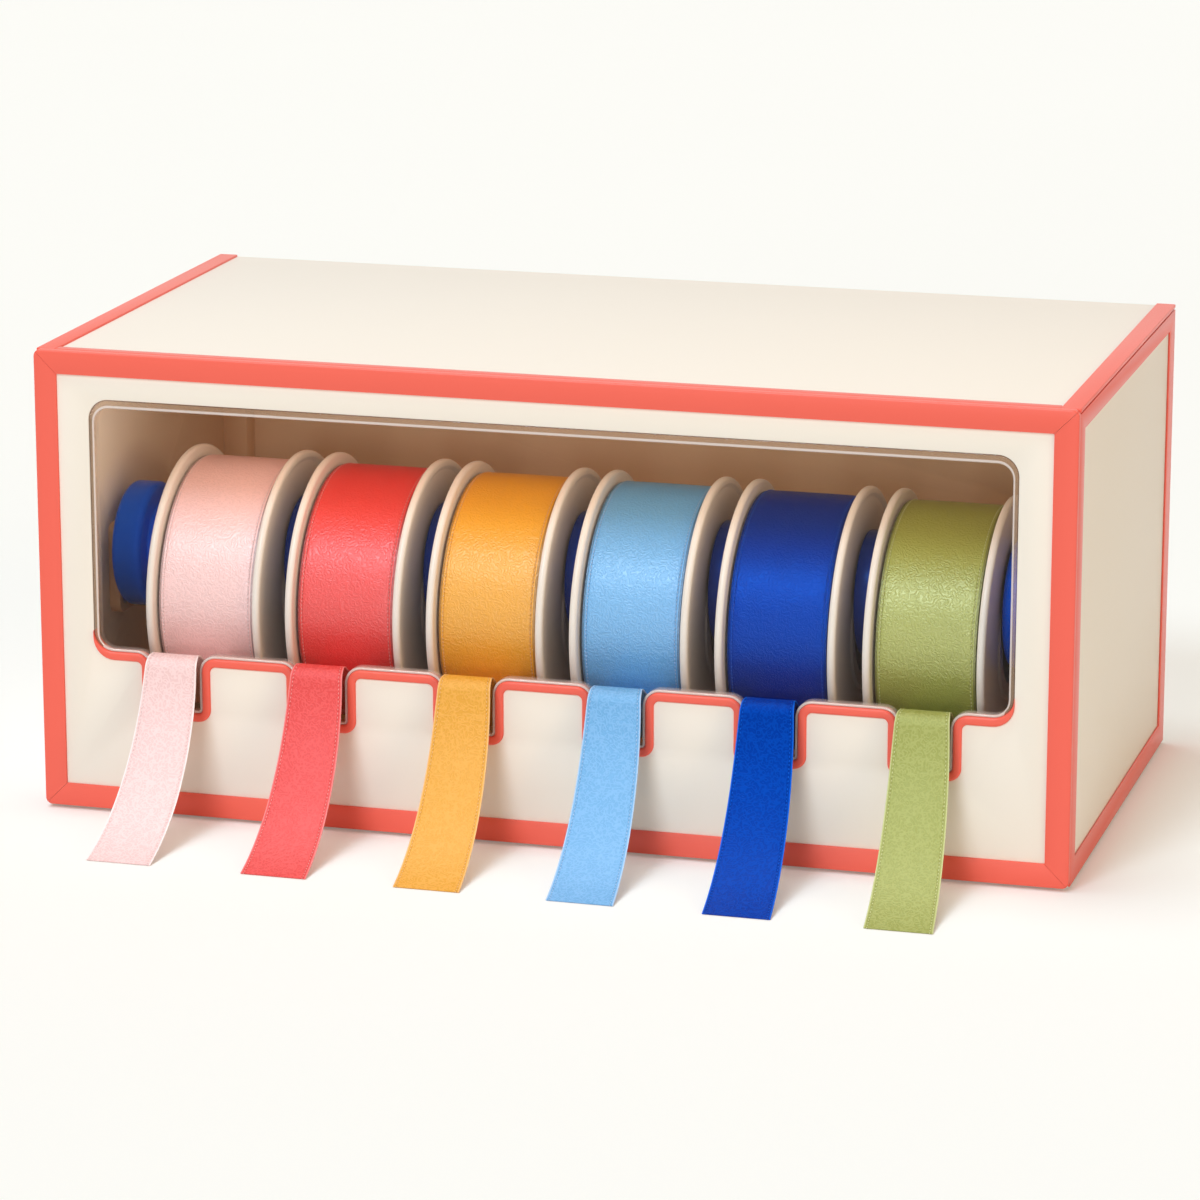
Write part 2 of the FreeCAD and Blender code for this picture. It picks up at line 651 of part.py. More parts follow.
inside = "(dims.spool_inside / 2)"
core_radius = "(dims.core_bore + dims.core_wall)"
spool_profile = [
    (f"-{spool_half}", "dims.core_bore"), (f"-{spool_half}", "dims.flange_radius"),
    (f"-{inside}", "dims.flange_radius"), (f"-{inside}", core_radius), (inside, core_radius),
    (inside, "dims.flange_radius"), (spool_half, "dims.flange_radius"), (spool_half, "dims.core_bore")]
roll_half = "(dims.ribbon_width / 2)"
roll_bore = f"({core_radius} + dims.roll_bore_clear)"
roll_profile = [(f"-{roll_half}", roll_bore), (f"-{roll_half}", "dims.roll_radius"),
                (roll_half, "dims.roll_radius"), (roll_half, roll_bore)]
for number in range(spool_count):
    spool = turned(f"spool_body_{number + 1}", spool_profile, spool_z)
    rounded(spool, "dims.flange_round", lambda edge: rim_at(edge, val("dims.flange_radius")))
    keep(bind(spool, x=spool_x(number)), f"spool_{number + 1}")
    roll = turned(f"roll_body_{number + 1}", roll_profile, spool_z)
    keep(bind(roll, x=spool_x(number)), f"ribbon_roll_{number + 1}")

# ---- ribbon ends: off the roll's underside, through the slot and down to the counter ----

def tail_side():
    """Side face of a ribbon's end in the YZ plane, of even thickness along tangent arcs."""
    thick = val("dims.ribbon_thick") / 2
    rise, fall, rest = (math.radians(val(text)) for text in (rise_angle, "dims.fall_angle", "dims.rest_angle"))
    roll = Vec(0, val(axis_y), val(spool_z))
    start = roll - Vec(0, math.sin(rise), math.cos(rise)) * val(off_roll)
    bend = val("dims.crest_round")
    crest = Vec(0, val(crest_y), val(crest_z))
    drop = crest + Vec(0, -math.sin(fall), math.cos(fall)) * bend
    sweep = (drop.z - thick * math.cos(rest)) / (math.cos(rest) - math.cos(fall))
    below = drop + Vec(0, -math.sin(fall), math.cos(fall)) * sweep

    def on_crest(angle, radius):
        return crest + Vec(0, -math.sin(angle), math.cos(angle)) * radius

    def on_sweep(angle, radius):
        return below - Vec(0, -math.sin(angle), math.cos(angle)) * radius

    curves = []
    ends = []
    for side in (1, -1):
        bend_out = bend + side * thick
        sweep_out = sweep - side * thick
        begin = start + Vec(0, math.sin(rise), math.cos(rise)) * side * thick
        first = on_crest(-rise, bend_out)
        join = on_crest(fall, bend_out)
        last = on_sweep(rest, sweep_out)
        curves.append(Part.LineSegment(begin, first))
        curves.append(Part.Arc(first, on_crest((fall - rise) / 2, bend_out), join))
        curves.append(Part.Arc(join, on_sweep((fall + rest) / 2, sweep_out), last))
        ends.append((begin, last))
    curves += [Part.LineSegment(ends[0][i], ends[1][i]) for i in (0, 1)]
    wire = Part.Wire(Part.sortEdges([curve.toShape() for curve in curves])[0])
    return Part.Face(wire), start.y, crest.y, ends[0][1].y


def tail_plan(leave, slot, end, skew):
    """Plan of a ribbon's end: from its roll to one side, drawn together in the slot, then spread."""
    wide, throat, cut_end = (val(text) for text in (roll_half, "dims.throat_half", "dims.tail_half"))
    past = val("dims.trim_band")
    middle = (throat + cut_end) / 2
    steps = [(leave + past, skew, wide), (leave, skew, wide), (slot + 2 * past, 0, throat), (slot - past / 2, 0, throat),
             (slot - 2 * past, 0, middle), (end - past, 0, cut_end)]
    points = [Vec(x - reach, y, 0) for y, x, reach in steps] + [Vec(x + reach, y, 0) for y, x, reach in reversed(steps)]
    return Part.Face(Part.makePolygon(points + points[:1])).extrude(Vec(0, 0, val(top)))


side_face, leave_y, slot_y, end_y = tail_side()
reach = val("dims.ribbon_width")
strip = side_face.extrude(Vec(2 * reach, 0, 0))
strip.translate(Vec(-reach, 0, 0))
for number in range(spool_count):
    skew = val(f"{spool_x(number)} - {notch_x(number)}")
    ribbon_end = loose(f"tail_{number + 1}", strip.common(tail_plan(leave_y, slot_y, end_y, skew)).Solids)
    keep(bind(ribbon_end, x=notch_x(number)), f"ribbon_tail_{number + 1}")

# ---- check and write ----

doc.recompute()
for obj in doc.Objects:
    if "Invalid" in obj.State or "Error" in obj.State:
        raise RuntimeError(f"{obj.Label} failed: {obj.State}")
for obj in nodes:
    if obj.Shape.isNull() or not obj.Shape.isValid() or not obj.Shape.Solids:
        raise RuntimeError(f"{obj.Label} has no valid solid")

os.makedirs("parts", exist_ok=True)
for obj in nodes:
    obj.Shape.exportStep(f"parts/{obj.Label}.step")
print(len(nodes), "nodes written")
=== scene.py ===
import json
import math

import bmesh
import bpy
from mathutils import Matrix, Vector

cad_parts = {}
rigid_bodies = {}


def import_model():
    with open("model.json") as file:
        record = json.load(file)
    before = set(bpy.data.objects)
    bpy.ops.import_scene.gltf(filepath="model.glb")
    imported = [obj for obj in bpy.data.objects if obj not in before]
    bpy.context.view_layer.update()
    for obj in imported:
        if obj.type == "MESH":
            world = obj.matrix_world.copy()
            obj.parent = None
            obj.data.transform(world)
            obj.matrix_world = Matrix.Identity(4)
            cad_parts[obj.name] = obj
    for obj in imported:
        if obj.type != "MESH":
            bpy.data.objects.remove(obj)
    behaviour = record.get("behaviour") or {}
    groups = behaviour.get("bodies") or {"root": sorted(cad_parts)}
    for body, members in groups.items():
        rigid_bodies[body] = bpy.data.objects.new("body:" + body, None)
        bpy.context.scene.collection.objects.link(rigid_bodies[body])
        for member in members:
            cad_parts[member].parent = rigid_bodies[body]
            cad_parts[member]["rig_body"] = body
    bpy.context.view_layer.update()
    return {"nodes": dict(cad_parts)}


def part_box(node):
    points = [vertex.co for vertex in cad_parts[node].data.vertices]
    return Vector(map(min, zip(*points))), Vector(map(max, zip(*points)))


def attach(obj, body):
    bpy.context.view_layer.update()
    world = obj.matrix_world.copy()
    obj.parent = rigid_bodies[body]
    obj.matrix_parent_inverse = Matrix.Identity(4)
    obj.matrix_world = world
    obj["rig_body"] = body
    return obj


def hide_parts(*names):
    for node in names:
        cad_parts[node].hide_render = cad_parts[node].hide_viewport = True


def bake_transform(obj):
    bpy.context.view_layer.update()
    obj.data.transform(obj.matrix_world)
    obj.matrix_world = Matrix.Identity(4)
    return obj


# A six-spool ribbon dispenser: cream board case, coral edge trim, clear window, satin ribbons.
# Lengths are in metres. Every piece is made in place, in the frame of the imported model.

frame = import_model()
mm = 0.001
weldReach = 0.002 * mm  # points nearer than this are one
tiny = 1e-7  # a length or an angle that counts as none
flatAngle = 1  # faces of the model's own shapes that turn by fewer degrees are joined
cornerAngle = 40  # and their edges that turn by more are eased
print("frame loaded:", len(frame["nodes"]), "nodes")


def size(node):
    low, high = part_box(node)
    return high - low


def middle(node):
    low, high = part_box(node)
    return (low + high) / 2


axis = middle("spindle_rod")


# small tools for meshes

def addObject(name, mesh, material):
    obj = bpy.data.objects.new(name, mesh)
    bpy.context.scene.collection.objects.link(obj)
    mesh.materials.clear()
    mesh.materials.append(material)
    return obj


def shadeSmooth(mesh, angle=35):
    mesh.polygons.foreach_set("use_smooth", [True] * len(mesh.polygons))
    mesh.set_sharp_from_angle(angle=math.radians(angle))


def addMark(mesh, label, values):
    # A value of each point that the materials read
    mesh.attributes.new(label, "FLOAT", "POINT").data.foreach_set("value", values)


def meshFrom(name, points, faces, angle=35, marks=None):
    # Closed mesh with its faces outwards; marks are values of the points by attribute name
    mesh = bpy.data.meshes.new(name)
    mesh.from_pydata([tuple(point) for point in points], [], faces)
    for label, values in (marks or {}).items():
        addMark(mesh, label, values)
    work = bmesh.new()
    work.from_mesh(mesh)
    bmesh.ops.remove_doubles(work, verts=work.verts, dist=weldReach)
    bmesh.ops.recalc_face_normals(work, faces=work.faces)
    work.to_mesh(mesh)
    work.free()
    shadeSmooth(mesh, angle)
    return mesh


def place(obj, body, slot, *nodes):
    # Fix a finished piece to its body and hide the nodes it stands for. A piece with no body is left
    # unattached. The slot is not used.
    if body:
        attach(obj, body)
    if nodes:
        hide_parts(*nodes)
    return obj


def applied(obj):
    # The same object with its modifiers worked into a plain mesh
    depsgraph = bpy.context.evaluated_depsgraph_get()
    mesh = bpy.data.meshes.new_from_object(obj.evaluated_get(depsgraph))
    obj.modifiers.clear()
    obj.data = mesh
    return obj


def carved(obj, points, faces):
    # The same object with a shape cut out of it
    mesh = bpy.data.meshes.new("cutter")
    mesh.from_pydata(points, [], faces)
    cutter = addObject("cutter", mesh, obj.data.materials[0])
    modifier = obj.modifiers.new("cut", "BOOLEAN")
    modifier.object = cutter
    modifier.operation = "DIFFERENCE"
    applied(obj)
    bpy.data.objects.remove(cutter)
    return obj


def dressed(node, name, slot, easing, steps):
    # A node's own shape with its doubles merged, flat faces joined and edges eased
    source = frame["nodes"][node]
    mesh = source.data.copy()
    work = bmesh.new()
    work.from_mesh(mesh)
    bmesh.ops.remove_doubles(work, verts=work.verts, dist=weldReach)
    bmesh.ops.dissolve_limit(work, angle_limit=math.radians(flatAngle), verts=work.verts, edges=work.edges)
    corner = math.radians(cornerAngle)
    sharp = [e for e in work.edges if len(e.link_faces) == 2 and e.calc_face_angle(0) > corner]
    bmesh.ops.bevel(work, geom=sharp, offset=easing * mm, segments=steps, profile=0.5, affect="EDGES",
                    clamp_overlap=True)
    work.to_mesh(mesh)
    work.free()
    shadeSmooth(mesh, cornerAngle)
    return place(addObject(name, mesh, materials[slot]), source["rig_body"], slot, node)


def filleted(corners, radii, steps=6):
    # Points round a closed outline whose corners are arcs of given radii, in groups of one corner
    groups = []
    count = len(corners)
    for i, (corner, radius) in enumerate(zip(corners, radii)):
        here = Vector(corner)
        back = (Vector(corners[i - 1]) - here).normalized()
        ahead = (Vector(corners[(i + 1) % count]) - here).normalized()
        half = back.angle(ahead) / 2
        centre = here + (back + ahead).normalized() * (radius / math.sin(half))
        reach = radius / math.tan(half)
        first = here + back * reach - centre
        last = here + ahead * reach - centre
        turn = first.angle(last) if radius > tiny else 0
        group = []
        for step in range(steps + 1):
            share = step / steps
            if turn < tiny:
                group.append(here.copy())
                continue
            a = math.sin((1 - share) * turn) / math.sin(turn)
            b = math.sin(share * turn) / math.sin(turn)
            group.append(centre + first * a + last * b)
        groups.append(group)
    return groups


def flat(groups):
    return [point for group in groups for point in group]


def ringFaces(rings, perRing, around=False, through=True):
    # Quads between rings of points. Around joins the last ring to the first, and through joins
    # the last point of each ring to its first.
    faces = []
    for k in range(rings if around else rings - 1):
        follow = (k + 1) % rings
        for i in range(perRing if through else perRing - 1):
            j = (i + 1) % perRing
            faces.append((k * perRing + i, k * perRing + j, follow * perRing + j, follow * perRing + i))
    return faces


def lathe(name, profile, centre, body, slot, segments, nodes, angle=35, marks=None, finish=None):
    # A closed profile of (x, radius) turned about the spindle's line through a centre; marks are
    # values of the profile's points by attribute name, finish a material other than the slot's
    points = []
    for k in range(segments):
        turn = 2 * math.pi * k / segments
        for x, radius in profile:
            y, z = radius * math.cos(turn), radius * math.sin(turn)
            points.append((centre.x + x, centre.y + y, centre.z + z))
    faces = ringFaces(segments, len(profile), around=True)
    turned = {label: values * segments for label, values in (marks or {}).items()}
    obj = addObject(name, meshFrom(name, points, faces, angle, turned), materials[finish or slot])
    return place(obj, body, slot, *nodes)


widestRounding = 0.45  # share of a band's width that the rounding of one edge may take


def between(name, outer, inner, section, material, closed=False):
    # A band that follows two matched outlines in the XZ plane. A point of the section is the share
    # of the way from the outer to the inner outline, the metres further that way, and its y.
    points, shares = [], []
    for a, b in zip(outer, inner):
        across = b - a
        width = max(across.length, tiny)
        for share, further, y in section:
            share += max(-widestRounding, min(widestRounding, further / width))
            spot = a + across * share
            points.append((spot.x, y, spot.y))
            shares.append(share)
    rings, count = len(section), len(outer)
    faces = ringFaces(count, rings, around=closed)
    if not closed:
        faces.append(tuple(range(rings)))
        faces.append(tuple((count - 1) * rings + i for i in reversed(range(rings))))
    return addObject(name, meshFrom(name, points, faces, 35, {"across": shares}), material)


def quarterTurn(steps):
    turns = [math.radians(90 * step / steps) for step in range(steps + 1)]
    return [(1 - math.cos(turn), 1 - math.sin(turn)) for turn in turns]


def bandSection(front, back, outer, inner, steps=(4, 4)):
    # Closed section of a band with roundings at its outer and its inner front edge
    outside = [(0, outer * a, front + outer * b) for a, b in quarterTurn(steps[0])]
    inside = [(1, -inner * b, front + inner * a) for a, b in quarterTurn(steps[1])]
    return [(0, 0, back)] + outside + inside + [(1, 0, back)]


# Geometry Nodes: what repeats along a line or at a set of places

def copyTree(name, inputs):
    # Tree that copies one shape to points, real and with their material. What makes the points
    # and the shape is linked to the copies by the caller.
    tree = bpy.data.node_groups.new(name, "GeometryNodeTree")
    tree.interface.new_socket("Geometry", in_out="INPUT", socket_type="NodeSocketGeometry")
    for label, kind in inputs + [("Material", "NodeSocketMaterial")]:
        tree.interface.new_socket(label, in_out="INPUT", socket_type=kind)
    tree.interface.new_socket("Geometry", in_out="OUTPUT", socket_type="NodeSocketGeometry")
    given = tree.nodes.new("NodeGroupInput")
    copies = tree.nodes.new("GeometryNodeInstanceOnPoints")
    last = copies.outputs["Instances"]
    for kind in ("SetShadeSmooth", "RealizeInstances", "SetMaterial"):
        step = tree.nodes.new("GeometryNode" + kind)
        tree.links.new(last, step.inputs["Geometry"])
        last = step.outputs["Geometry"]
    tree.links.new(given.outputs["Material"], step.inputs["Material"])
    tree.links.new(last, tree.nodes.new("NodeGroupOutput").inputs["Geometry"])
    return tree, given, copies


def joinUp(tree, *links):
    # Links given as (node, output, node, input)
    for first, output, second, socket in links:
        tree.links.new(first.outputs[output], second.inputs[socket])
    return tree


def stitchTree():
    # Beads at an even pitch along every edge line of the mesh it is given
    sockets = [("Pitch", "NodeSocketFloat"), ("Bead Size", "NodeSocketVector")]
    tree, given, copies = copyTree("stitchLine", sockets)
    curve = tree.nodes.new("GeometryNodeMeshToCurve")
    spots = tree.nodes.new("GeometryNodeCurveToPoints")
    spots.mode = "LENGTH"
    bead = tree.nodes.new("GeometryNodeMeshIcoSphere")
    bead.inputs["Radius"].default_value = 0.5
    bead.inputs["Subdivisions"].default_value = 1
    return joinUp(tree, (given, "Geometry", curve, "Mesh"), (curve, "Curve", spots, "Curve"),
                  (given, "Pitch", spots, "Length"), (spots, "Points", copies, "Points"),
                  (spots, "Rotation", copies, "Rotation"), (bead, "Mesh", copies, "Instance"),
                  (given, "Bead Size", copies, "Scale"))


def screwTree():
    # A copy of one screw at every point of the mesh it is given, all turned the same way
    tree, given, copies = copyTree("screwSet", [("Screw", "NodeSocketObject"), ("Turn", "NodeSocketVector")])
    info = tree.nodes.new("GeometryNodeObjectInfo")
    return joinUp(tree, (given, "Screw", info, "Object"), (given, "Geometry", copies, "Points"),
                  (info, "Geometry", copies, "Instance"), (given, "Turn", copies, "Rotation"))


def grown(name, points, edges, tree, values, material):
    # Plain mesh that a Geometry Nodes tree makes from loose points or edges
    seed = bpy.data.meshes.new(name)
    seed.from_pydata([tuple(point) for point in points], edges, [])
    obj = addObject(name, seed, material)
    modifier = obj.modifiers.new("grow", "NODES")
    modifier.node_group = tree
    for item in tree.interface.items_tree:
        if item.item_type == "SOCKET" and item.in_out == "INPUT" and item.name in values:
            modifier[item.identifier] = values[item.name]
    return applied(obj)


# small tools for colours and materials

def linear(red, green, blue):
    # Scene colour from the usual 0 to 255 values
    steps = [value / 255 for value in (red, green, blue)]
    return tuple(v / 12.92 if v <= 0.04045 else ((v + 0.055) / 1.055) ** 2.4 for v in steps) + (1,)


def scaled(colour, factor):
    return tuple(min(1.0, value * factor) for value in colour[:3]) + (1,)


def towards(colour, other, share):
    return tuple(a + (b - a) * share for a, b in zip(colour[:3], other[:3])) + (1,)


def feed(tree, value, socket):
    # Set a socket to a plain value, or link another socket to it
    if isinstance(value, (int, float, tuple)):
        socket.default_value = value
    else:
        tree.links.new(value, socket)


def mathNode(tree, operation, *values):
    node = tree.nodes.new("ShaderNodeMath")
    node.operation = operation
    for socket, value in zip(node.inputs, values):
        feed(tree, value, socket)
    return node.outputs[0]


def objectSpot(tree):
    return tree.nodes.new("ShaderNodeTexCoord").outputs["Object"]


def markNode(tree, name):
    node = tree.nodes.new("ShaderNodeAttribute")
    node.attribute_name = name
    return node.outputs["Fac"]


def noiseNode(tree, spot, scale, detail=2.0, roughness=0.5):
    node = tree.nodes.new("ShaderNodeTexNoise")
    for label, value in (("Vector", spot), ("Scale", scale), ("Detail", detail), ("Roughness", roughness)):
        feed(tree, value, node.inputs[label])
    return node.outputs["Fac"]


def bumpNode(tree, height, distance, below=None, invert=False):
    node = tree.nodes.new("ShaderNodeBump")
    node.invert = invert
    node.inputs["Strength"].default_value = 1.0
    feed(tree, height, node.inputs["Height"])
    feed(tree, distance, node.inputs["Distance"])
    if below:
        tree.links.new(below, node.inputs["Normal"])
    return node.outputs["Normal"]


def mixColour(tree, share, first, second):
    node = tree.nodes.new("ShaderNodeMix")
    node.data_type = "RGBA"
    ends = [socket for socket in node.inputs if socket.type == "RGBA"]
    for socket, value in zip([node.inputs["Factor"]] + ends, (share, first, second)):
        feed(tree, value, socket)
    return [socket for socket in node.outputs if socket.type == "RGBA"][0]


def rampNode(tree, value, stops):
    # Colour ramp through (place, colour) stops
    node = tree.nodes.new("ShaderNodeValToRGB")
    ramp = node.color_ramp
    while len(ramp.elements) < len(stops):
        ramp.elements.new(0.5)
    for element, (spot, colour) in zip(ramp.elements, stops):
        element.position = spot
        element.color = colour
    tree.links.new(value, node.inputs["Fac"])
    return node.outputs["Color"]


def shaderGroup(name, inputs, outputs):
    tree = bpy.data.node_groups.new(name, "ShaderNodeTree")
    for label in inputs:
        tree.interface.new_socket(label, in_out="INPUT", socket_type="NodeSocketFloat")
    for label in outputs:
        kind = "NodeSocketVector" if label == "Normal" else "NodeSocketFloat"
        tree.interface.new_socket(label, in_out="OUTPUT", socket_type=kind)
    return tree, tree.nodes.new("NodeGroupInput").outputs, tree.nodes.new("NodeGroupOutput").inputs


def groupNode(tree, group, values):
    node = tree.nodes.new("ShaderNodeGroup")
    node.node_tree = group
    for label, value in values.items():
        node.inputs[label].default_value = value
    return node.outputs


def newMaterial(name, **sockets):
    material = bpy.data.materials.new(name)
    material.use_nodes = True
    shader = material.node_tree.nodes["Principled BSDF"]
    for label, value in sockets.items():
        shader.inputs[label].default_value = value
    return material, material.node_tree, shader


def coverShader(tree, shader, colour, roughness, normal):
    for label, value in (("Base Color", colour), ("Roughness", roughness), ("Normal", normal)):
        tree.links.new(value, shader.inputs[label])


# lacquer, plastic and metal

grainInputs = ("Mottle Scale", "Peel Scale", "Peel Depth")


def makeSurfaceGroup():
    # Slow mottling and a fine orange-peel for lacquer and moulded plastic
    tree, given, result = shaderGroup("surfaceGrain", grainInputs, ("Tone", "Peel", "Normal"))
    spot = objectSpot(tree)
    peel = noiseNode(tree, spot, given["Peel Scale"])
    mottle = noiseNode(tree, spot, given["Mottle Scale"], detail=3.0, roughness=0.55)
    tree.links.new(mottle, result["Tone"])
    tree.links.new(peel, result["Peel"])
    tree.links.new(bumpNode(tree, peel, given["Peel Depth"]), result["Normal"])
    return tree


surfaceGrain = makeSurfaceGroup()


def innerTone(tree, tone, inner):
    # Painted shade: tan on the faces that look into the case stands for the shade inside it, and painted light
    # makes the end walls paler towards the window
    split = tree.nodes.new("ShaderNodeSeparateXYZ")
    tree.links.new(objectSpot(tree), split.inputs["Vector"])
    aside = mathNode(tree, "ABSOLUTE", split.outputs["X"])
    margin = inner["margin"]
    front = inner["front"] - margin
    mask = mathNode(tree, "LESS_THAN", aside, inner["end"] + margin)
    for side, test, limit in (("Y", "GREATER_THAN", front), ("Y", "LESS_THAN", inner["back"] + margin),
                              ("Z", "GREATER_THAN", inner["floor"] - margin),
                              ("Z", "LESS_THAN", inner["lid"] + margin)):
        mask = mathNode(tree, "MULTIPLY", mask, mathNode(tree, test, split.outputs[side], limit))
    onWall = mathNode(tree, "GREATER_THAN", aside, inner["end"] - margin)
    nearness = tree.nodes.new("ShaderNodeMapRange")
    for label, value in (("Value", split.outputs["Y"]), ("From Min", front + inner["fade"]),
                         ("From Max", front)):
        feed(tree, value, nearness.inputs[label])
    lit = mathNode(tree, "MULTIPLY", onWall, nearness.outputs["Result"])
    return mixColour(tree, mask, tone, mixColour(tree, lit, inner["colour"], inner["paintedWindowLight"]))


def coatedMaterial(settings):
    # Base colour with slow mottling, and roughness that follows the peel
    material, tree, shader = newMaterial(settings["name"], **settings.get("sockets", {}))
    group = groupNode(tree, surfaceGrain, dict(zip(grainInputs, settings["grain"])))
    colour, spread = settings["colour"], settings["spread"]
    tone = mixColour(tree, group["Tone"], scaled(colour, 1 - spread), scaled(colour, 1 + spread))
    # painted shade inside the case, with painted light on its end walls near the window
    if "inner" in settings:
        tone = innerTone(tree, tone, settings["inner"])
    # painted shade: darker towards the boss on the spools' outer flange faces
    if "paintedRecessShade" in settings:
        tone = mixColour(tree, markNode(tree, "depth"), tone, settings["paintedRecessShade"])
    low, high = settings["roughness"]
    rough = mathNode(tree, "MULTIPLY_ADD", group["Peel"], high - low, low)
    coverShader(tree, shader, tone, rough, group["Normal"])
    return material


# grain is the scale of the mottling, the scale of the peel and its depth
bluePlastic = {
    "name": "royalBluePlastic", "colour": linear(0, 94, 244), "spread": 0.04, "roughness": (0.24, 0.34),
    "grain": (22.0, 1000.0, 0.000005),
    "sockets": {"Specular IOR Level": 0.45, "Specular Tint": linear(110, 165, 255)},
}
zincSteel = {
    "name": "zincSteel", "colour": linear(196, 196, 198), "spread": 0.04, "roughness": (0.24, 0.36),
    "grain": (60.0, 1500.0, 0.000004), "sockets": {"Metallic": 1.0},
}
finishes = {
    "cream_board": {
        "name": "creamLacquer", "colour": linear(251, 241, 229), "spread": 0.012, "roughness": (0.42, 0.55),
        "grain": (7.0, 700.0, 0.000006), "sockets": {"Specular IOR Level": 0.2},
        # painted shade inside the case: tan on its inner faces, with painted light paler on the end walls near
        # the window
        "inner": {
            "colour": linear(246, 208, 166), "paintedWindowLight": linear(255, 251, 240), "fade": 0.2, "margin": 0.1 * mm,
            "end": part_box("right_side_panel")[0].x, "front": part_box("front_panel")[1].y,
            "back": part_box("back_panel")[0].y, "floor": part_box("base_panel")[1].z,
            "lid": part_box("lid_panel")[0].z,
        },
    },
    "coral_trim": {
        "name": "coralTrim", "colour": linear(250, 104, 86), "spread": 0.02, "roughness": (0.28, 0.4),
        "grain": (14.0, 1100.0, 0.000006), "sockets": {"Specular IOR Level": 0.4},
    },
    "spool_white": {
        "name": "warmWhitePlastic", "colour": linear(244, 236, 228), "spread": 0.015,
        "roughness": (0.3, 0.42), "grain": (20.0, 900.0, 0.000004), "sockets": {"Specular IOR Level": 0.45},
        # painted shade: the flanges' outer faces darken towards the boss
        "paintedRecessShade": linear(150, 142, 138),
    },
    "blue_hub": bluePlastic,
    # painted shade: the spacers take a darker copy of the hubs' blue plastic, as they sit in shade between the
    # spools
    "spacer": dict(bluePlastic, name="deepBluePlastic", colour=linear(6, 40, 124)),
    # painted shade: the cradles take the tan of the painted shade inside the case
    "cradle": {
        "name": "cradlePlastic", "colour": linear(232, 196, 158), "spread": 0.02, "roughness": (0.4, 0.5),
        "grain": (25.0, 900.0, 0.000006),
    },
    "mat": {
        "name": "matRubber", "colour": linear(38, 38, 40), "spread": 0.08, "roughness": (0.8, 0.95),
        "grain": (60.0, 480.0, 0.0001),
    },
    "screw_steel": zincSteel,
    "rod_steel": dict(zincSteel, name="rodSteel"),
    "hinge_brass": {
        "name": "hingeBrass", "colour": linear(206, 164, 92), "spread": 0.05, "roughness": (0.26, 0.4),
        "grain": (80.0, 1500.0, 0.000004), "sockets": {"Metallic": 1.0},
    },
}
materials = {slot: coatedMaterial(settings) for slot, settings in finishes.items()}

# satin of the ribbons

satin = {
    "face": {"Emboss Scale": 740.0, "Emboss Depth": 0.000065, "Selvedge": 0.00045, "Margin": 0.00125,
             "Groove Depth": 0.0001},
    "windings": 15.0, "threadScale": 2600.0, "threadHeight": 0.2, "grooveHalf": 0.0004,
    "paintedGrooveShade": 0.74, "grooveShare": 0.7, "roughSpread": 0.08, "ior": 1.75,
    "wound": {"spread": 0.035, "paintedMarginShade": 0.42, "rough": 0.38, "specular": 1.0},
    "slack": {"spread": 0.11, "ridgeHighlightShare": 0.24, "rough": 0.48, "specular": 0.65},
    "stitches": {"share": 0.55, "shade": 0.86, "scale": 2400.0},
}
# colour, colour of its sheen, share of the sheen in a slack end's selvedge as a painted highlight
ribbonColours = {
    "pink": ((250, 206, 205), (255, 247, 247), 0.75), "red": ((234, 52, 50), (255, 205, 205), 0.3),
    "yellow": ((236, 165, 26), (255, 221, 188), 0.35), "light_blue": ((102, 174, 230), (213, 230, 255), 0.5),
    "royal_blue": ((0, 38, 140), (20, 122, 255), 0.55), "green": ((148, 154, 66), (252, 255, 206), 0.35),
}
ribbonNames = list(ribbonColours)
ribbonCount = len(ribbonNames)


def makeSatinGroup():
    # Satin face of a ribbon: winding embossed lines, faint threads and stitched margins
    tree, given, result = shaderGroup("satinFace", satin["face"], ("Emboss", "Edge", "Groove", "Normal"))
    spot = objectSpot(tree)
    broad = noiseNode(tree, spot, given["Emboss Scale"], detail=0.0)
    lines = mathNode(tree, "SINE", mathNode(tree, "MULTIPLY", broad, satin["windings"]))
    emboss = mathNode(tree, "MULTIPLY_ADD", lines, 0.5, 0.5)
    threads = noiseNode(tree, spot, satin["threadScale"], detail=1.0)
    gap = markNode(tree, "edgeGap")
    aside = mathNode(tree, "ABSOLUTE", mathNode(tree, "SUBTRACT", gap, given["Margin"]))
    groove = mathNode(tree, "SUBTRACT", 1.0, mathNode(tree, "DIVIDE", aside, satin["grooveHalf"]))
    groove = mathNode(tree, "MAXIMUM", groove, 0.0)
    height = mathNode(tree, "MULTIPLY_ADD", threads, satin["threadHeight"], emboss)
    embossed = bumpNode(tree, height, given["Emboss Depth"])
    tree.links.new(emboss, result["Emboss"])
    tree.links.new(mathNode(tree, "LESS_THAN", gap, given["Selvedge"]), result["Edge"])
    tree.links.new(groove, result["Groove"])
    tree.links.new(bumpNode(tree, groove, given["Groove Depth"], embossed, invert=True), result["Normal"])
    return tree


satinFace = makeSatinGroup()


def satinMaterial(name, shade, sunk, raised, edging, rough, sockets):
    # Satin ribbon: embossed face, a selvedge and a stitched groove inside it, darkened with painted shade
    material, tree, shader = newMaterial(name, **sockets)
    group = groupNode(tree, satinFace, satin["face"])
    face = mixColour(tree, group["Emboss"], sunk, raised)
    edged = mixColour(tree, group["Edge"], face, edging)
    # painted shade in the stitched groove
    depth = mathNode(tree, "MULTIPLY", group["Groove"], satin["grooveShare"])
    grooved = mixColour(tree, depth, edged, scaled(shade, satin["paintedGrooveShade"]))
    roughness = mathNode(tree, "MULTIPLY_ADD", group["Emboss"], satin["roughSpread"], rough)
    coverShader(tree, shader, grooved, roughness, group["Normal"])
    return material


